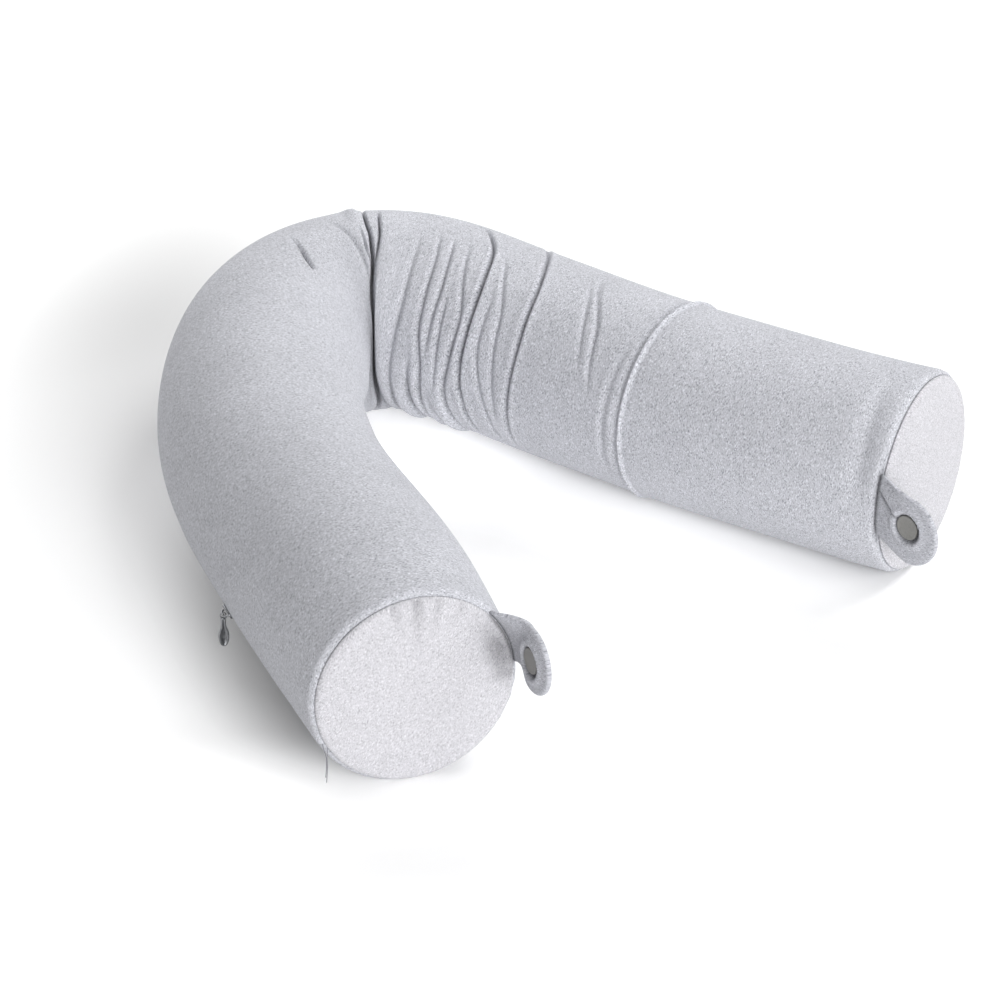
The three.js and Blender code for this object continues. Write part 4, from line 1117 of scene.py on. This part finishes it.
def zip_pull_leaf(material):
    seat, _, _, away, left, up = zip_ways()
    wire = seat + away * BRIDGE["height"]
    eye = wire - up * (PULL["eye"] - BRIDGE["wire"] - GAP)
    ring_middle = (PULL["ring"] + PULL["eye"]) / 2
    ring_thick = PULL["ring"] - PULL["eye"]
    turns = np.linspace(0, 2 * math.pi, 33)
    ring = [(ring_middle * math.sin(turn), ring_middle * math.cos(turn), 0) for turn in turns]
    bm = tube_mesh([ring], ring_thick)
    neck, leaf, drop = PULL["neck"], PULL["leaf"], PULL["drop"]
    neck_top = -ring_middle
    neck_low = -PULL["neck_drop"]
    widest = -PULL["leaf_drop"]
    waist = neck_low - LEAF_CURVE["waist"]
    shoulder = widest + LEAF_CURVE["shoulder"]
    above_tip = -drop + LEAF_CURVE["tip_drop"]
    side = [(neck, neck_top), (neck, neck_top - 0.8)]
    side += curve_between((neck, neck_low), (neck, waist), (leaf, shoulder), (leaf, widest), 10)
    by_tip = (LEAF_CURVE["tip_width"], -drop)
    side += curve_between((leaf, widest), (leaf, above_tip), by_tip, (0, -drop), 8)
    outline = side + [(0, -drop)] + [(-x, y) for x, y in reversed(side)]
    plate = plate_of(outline, PULL_THICK, 0.35)
    bmesh.ops.translate(plate, vec=(0, 0, -PULL_THICK / 2), verts=plate.verts)
    broad = [face for face in plate.faces if abs(face.normal.z) > 0.99 and len(face.verts) > 20]
    bmesh.ops.inset_region(plate, faces=broad, thickness=LEAF_DISH["rim"], depth=0)
    bmesh.ops.inset_region(plate, faces=broad, thickness=LEAF_DISH["slope"], depth=-LEAF_DISH["depth"])
    add_mesh(bm, plate)
    return set_down(bm, basis_at(eye, left, up, left.cross(up)), "zip_pull_leaf", material)


def add_node(tree, kind, inputs=None, **settings):
    """A node with its settings made, and its inputs linked or set."""
    node = tree.nodes.new(kind)
    for name, value in settings.items():
        setattr(node, name, value)
    for socket, value in (inputs or {}).items():
        if isinstance(value, bpy.types.NodeSocket):
            tree.links.new(value, node.inputs[socket])
        else:
            node.inputs[socket].default_value = value
    return node


def add_math(tree, operation, first, second=0.0):
    return add_node(tree, "ShaderNodeMath", {0: first, 1: second}, operation=operation).outputs[0]


MIX_FACTOR, MIX_FIRST, MIX_SECOND, MIX_RESULT = 0, 6, 7, 2


def add_mix(tree, factor, first, second):
    inputs = {MIX_FACTOR: factor, MIX_FIRST: first, MIX_SECOND: second}
    return add_node(tree, "ShaderNodeMix", inputs, data_type="RGBA").outputs[MIX_RESULT]


def add_range(tree, value, low, high, to_low=0.0, to_high=1.0):
    inputs = {"Value": value, "From Min": low, "From Max": high, "To Min": to_low, "To Max": to_high}
    return add_node(tree, "ShaderNodeMapRange", inputs).outputs[0]


def new_group(name, inputs, outputs):
    """An empty shader group with its named sockets, and its inner ends."""
    tree = bpy.data.node_groups.new(name, "ShaderNodeTree")
    for label, kind in inputs:
        tree.interface.new_socket(label, in_out="INPUT", socket_type=kind)
    for label, kind in outputs:
        tree.interface.new_socket(label, in_out="OUTPUT", socket_type=kind)
    given = tree.nodes.new("NodeGroupInput").outputs
    result = tree.nodes.new("NodeGroupOutput").inputs
    return tree, given, result


def heather_group():
    """Heathered jersey on a cloth's UV in metres: columns of loops, and flecks of dark and pale yarn, with
    painted shade in the gaps between the loops and where the crease attribute marks it.
    """
    colour, number = "NodeSocketColor", "NodeSocketFloat"
    tree, given, result = new_group(
        "heather_jersey",
        [("Cloth", "NodeSocketVector"), ("Ground", colour), ("Dark yarn", colour), ("Pale yarn", colour),
         ("Loop width", number), ("Fleck length", number), ("Crease", number)],
        [("Color", colour), ("Height", number), ("Roughness", number)],
    )
    split = add_node(tree, "ShaderNodeSeparateXYZ", {0: given["Cloth"]}).outputs
    columns = add_math(tree, "DIVIDE", split["X"], given["Loop width"])
    rows = add_math(tree, "DIVIDE", split["Y"], given["Loop width"])
    slant = add_math(tree, "MULTIPLY", add_math(tree, "PINGPONG", columns, 0.5), KNIT["climb"])
    climb = add_math(tree, "ADD", add_math(tree, "MULTIPLY", rows, KNIT["rows"]), slant)

    def humps(place):
        turn = add_math(tree, "MULTIPLY", place, math.pi)
        return add_math(tree, "ABSOLUTE", add_math(tree, "SINE", turn))

    stitch = add_math(tree, "MULTIPLY", humps(climb), add_range(tree, humps(columns), 0, 1, 0.3, 1))
    across = add_math(tree, "DIVIDE", columns, KNIT["fleck_width"])
    onward = add_math(tree, "DIVIDE", split["Y"], given["Fleck length"])

    def flecks(layer, low, high):
        where = add_node(tree, "ShaderNodeCombineXYZ", {"X": across, "Y": onward, "Z": layer}).outputs[0]
        noise = add_node(tree, "ShaderNodeTexNoise", {"Vector": where, "Scale": 1.0, "Detail": 2.0})
        return add_range(tree, noise.outputs[0], low, high)

    fuzz = flecks(*FUZZ)
    clouds = {"Vector": given["Cloth"], "Scale": CLOUD_SCALE, "Detail": 2.0}
    cloud = add_node(tree, "ShaderNodeTexNoise", clouds).outputs[0]
    cloudy = add_range(tree, cloud, 0.3, 0.7, 0.97, 1.03)
    tone = add_mix(tree, flecks(*DARK_FLECKS), given["Ground"], given["Dark yarn"])
    tone = add_mix(tree, flecks(*PALE_FLECKS), tone, given["Pale yarn"])
    # Painted shade: the gaps between the loops are darker, and so is cloth with a crease mark.
    shade = add_math(tree, "MULTIPLY", add_range(tree, stitch, 0, 1, 0.86, 1.06), cloudy)
    creased = add_range(tree, given["Crease"], 0, CREASE_MOST, 1, 1 - CREASE_MOST * PAINTED_SHADE)
    shade = add_math(tree, "MULTIPLY", shade, creased)
    scaled = add_node(tree, "ShaderNodeVectorMath", {0: tone, "Scale": shade}, operation="SCALE").outputs[0]
    height = add_math(tree, "ADD", stitch, add_math(tree, "MULTIPLY", fuzz, KNIT["fuzz"]))
    tree.links.new(scaled, result["Color"])
    tree.links.new(height, result["Height"])
    tree.links.new(add_range(tree, fuzz, 0, 1, 0.84, 0.98), result["Roughness"])
    return tree


def new_material(name):
    material = bpy.data.materials.new(name)
    material.use_nodes = True
    return material, material.node_tree, material.node_tree.nodes["Principled BSDF"]


def link_group(tree, shader, group, inputs, relief):
    """Places a group in a material, and links its colour, roughness and height to the shader."""
    made = add_node(tree, "ShaderNodeGroup", inputs, node_tree=group).outputs
    bump = add_node(tree, "ShaderNodeBump", {"Height": made["Height"], "Distance": relief})
    tree.links.new(made["Color"], shader.inputs["Base Color"])
    tree.links.new(made["Roughness"], shader.inputs["Roughness"])
    tree.links.new(bump.outputs[0], shader.inputs["Normal"])


def jersey_material(name, group):
    jersey = JERSEYS[name]
    material, tree, shader = new_material(name)
    cloth = add_node(tree, "ShaderNodeUVMap", uv_map="UVMap").outputs[0]
    turn = (0, 0, math.radians(jersey.turn))
    inputs = {
        "Cloth": add_node(tree, "ShaderNodeMapping", {"Vector": cloth, "Rotation": turn}).outputs[0],
        "Ground": (*jersey.ground, 1),
        "Dark yarn": (*jersey.dark, 1),
        "Pale yarn": (*jersey.pale, 1),
        "Loop width": jersey.loop,
        "Fleck length": jersey.fleck,
        # The crease attribute carries each point's painted shade.
        "Crease": add_node(tree, "ShaderNodeAttribute", attribute_name="crease").outputs["Fac"],
    }
    link_group(tree, shader, group, inputs, jersey.relief)
    for socket, value in CLOTH_SHADER.items():
        shader.inputs[socket].default_value = value
    return material


def mottle_group():
    """Fine unevenness of plastic, enamel or thread, in the row frame: colour, roughness and height."""
    colour, number = "NodeSocketColor", "NodeSocketFloat"
    tree, given, result = new_group(
        "mottle",
        [("Place", "NodeSocketVector"), ("First", colour), ("Second", colour), ("Grain", number),
         ("Smooth", number), ("Rough", number)],
        [("Color", colour), ("Height", number), ("Roughness", number)],
    )
    scale = add_math(tree, "DIVIDE", 1.0, given["Grain"])
    grained = {"Vector": given["Place"], "Scale": scale, "Detail": 3.0}
    noise = add_node(tree, "ShaderNodeTexNoise", grained).outputs[0]
    spread = add_range(tree, noise, 0.3, 0.7)
    rough = add_range(tree, spread, 0, 1, given["Smooth"], given["Rough"])
    tree.links.new(add_mix(tree, spread, given["First"], given["Second"]), result["Color"])
    tree.links.new(noise, result["Height"])
    tree.links.new(rough, result["Roughness"])
    return tree


def mottled_material(name, group):
    finish = FINISHES[name]
    material, tree, shader = new_material(name)
    inputs = {
        "Place": add_node(tree, "ShaderNodeTexCoord").outputs["Object"],
        "First": (*finish.first, 1),
        "Second": (*finish.second, 1),
        "Grain": finish.grain,
        "Smooth": finish.smooth,
        "Rough": finish.rough,
    }
    link_group(tree, shader, group, inputs, finish.relief)
    shader.inputs["Metallic"].default_value = finish.metal
    return material


def floor_material():
    material, tree, shader = new_material("pale_floor")
    place = add_node(tree, "ShaderNodeTexCoord").outputs["Object"]

    def level_of(spot):
        inputs = {
            "Vector": place,
            "Location": (spot.x, spot.y, 0),
            "Rotation": (0, 0, math.radians(spot.turn)),
            "Scale": (spot.reach_x, spot.reach_y, 1),
        }
        inside = add_node(tree, "ShaderNodeMapping", inputs, vector_type="TEXTURE").outputs[0]
        far = add_node(tree, "ShaderNodeVectorMath", {0: inside}, operation="LENGTH").outputs["Value"]
        soft = {"Value": far, "To Min": spot.level, "To Max": 0.0}
        return add_node(tree, "ShaderNodeMapRange", soft, interpolation_type="SMOOTHSTEP").outputs[0]

    # Painted light glows from soft rounds of the floor, and painted shadow darkens the floor's colour in
    # others.
    painted_light = 0.0
    for spot in PAINTED_FLOOR_LIGHT:
        painted_light = add_math(tree, "ADD", level_of(spot), painted_light)
    tone = FLOOR_TONE
    for spot in PAINTED_FLOOR_SHADOWS:
        tone = add_math(tree, "MULTIPLY", add_math(tree, "SUBTRACT", 1.0, level_of(spot)), tone)
    tree.links.new(painted_light, shader.inputs["Emission Color"])
    tree.links.new(tone, shader.inputs["Base Color"])
    shader.inputs["Emission Strength"].default_value = PAINTED_FLOOR_LIGHT_STRENGTH
    shader.inputs["Roughness"].default_value = 0.9
    return material


def add_camera():
    data = bpy.data.cameras.new("photo_view")
    data.lens = CAMERA_LENS
    data.sensor_width = CAMERA_SENSOR
    data.clip_end = CAMERA_FAR
    camera = new_object("photo_view", data)
    camera.location = CAMERA_AT
    way = Vector(CAMERA_TO) - Vector(CAMERA_AT)
    camera.rotation_euler = way.to_track_quat("-Z", "Y").to_euler()
    bpy.context.scene.camera = camera


def add_lamp(lamp):
    data = bpy.data.lights.new(lamp.name, "AREA")
    data.shape = "DISK"
    data.size = lamp.size
    data.energy = lamp.power
    light = new_object(lamp.name, data)
    way = Vector(lamp.toward).normalized()
    light.location = way * lamp.distance
    light.rotation_euler = (-way).to_track_quat("-Z", "Y").to_euler()


def add_studio():
    bm = bmesh.new()
    bmesh.ops.create_grid(bm, x_segments=1, y_segments=1, size=FLOOR_SIZE / 2)
    piece_of(bm, "pale_floor", floor_material())
    sky = bpy.data.worlds.new("studio")
    sky.use_nodes = True
    sky.node_tree.nodes["Background"].inputs["Color"].default_value = (1, 1, 1, 1)
    sky.node_tree.nodes["Background"].inputs["Strength"].default_value = SKY_STRENGTH
    bpy.context.scene.world = sky
    for lamp in LAMPS:
        add_lamp(lamp)
    bpy.context.scene.view_settings.view_transform = "Standard"


def join_part(piece, slot, *nodes):
    """Lets a piece ride on the pillow, in place of the part's own nodes if any are named."""
    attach(piece, "root")
    if nodes:
        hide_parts(*nodes)


add_camera()
add_studio()
heather = heather_group()
mottle = mottle_group()
jerseys = {name: jersey_material(name, heather) for name in JERSEYS}
finishes = {name: mottled_material(name, mottle) for name in FINISHES}

roll = jersey_roll(jerseys["cover_jersey"])
join_part(roll, "cover_jersey", "cover_roll")

for end in (end_frame("near"), end_frame("far")):
    panel = end_panel(end, jerseys["end_jersey"])
    join_part(panel, "end_jersey", f"end_disc_{end.name}")
    tab = snap_tab(end, jerseys["tab_jersey"])
    join_part(tab, "tab_jersey", f"snap_tab_{end.name}")
    cut_width, cut_length, cut_area = tab_cut(end)
    snap = snap_half(end, finishes["snap_plastic"])
    join_part(snap, "snap_plastic", f"snap_{end.name}")
    join_part(seam_stitches(end, finishes["seam_thread"]), "cover_jersey")
    if end.name == "near":
        join_part(loose_thread(end, finishes["thread_end"]), "cover_jersey")

join_part(zip_slider_body(finishes["zip_metal"]), "zip_metal", "zip_slider")
join_part(zip_pull_leaf(finishes["zip_metal"]), "zip_metal", "zip_pull")
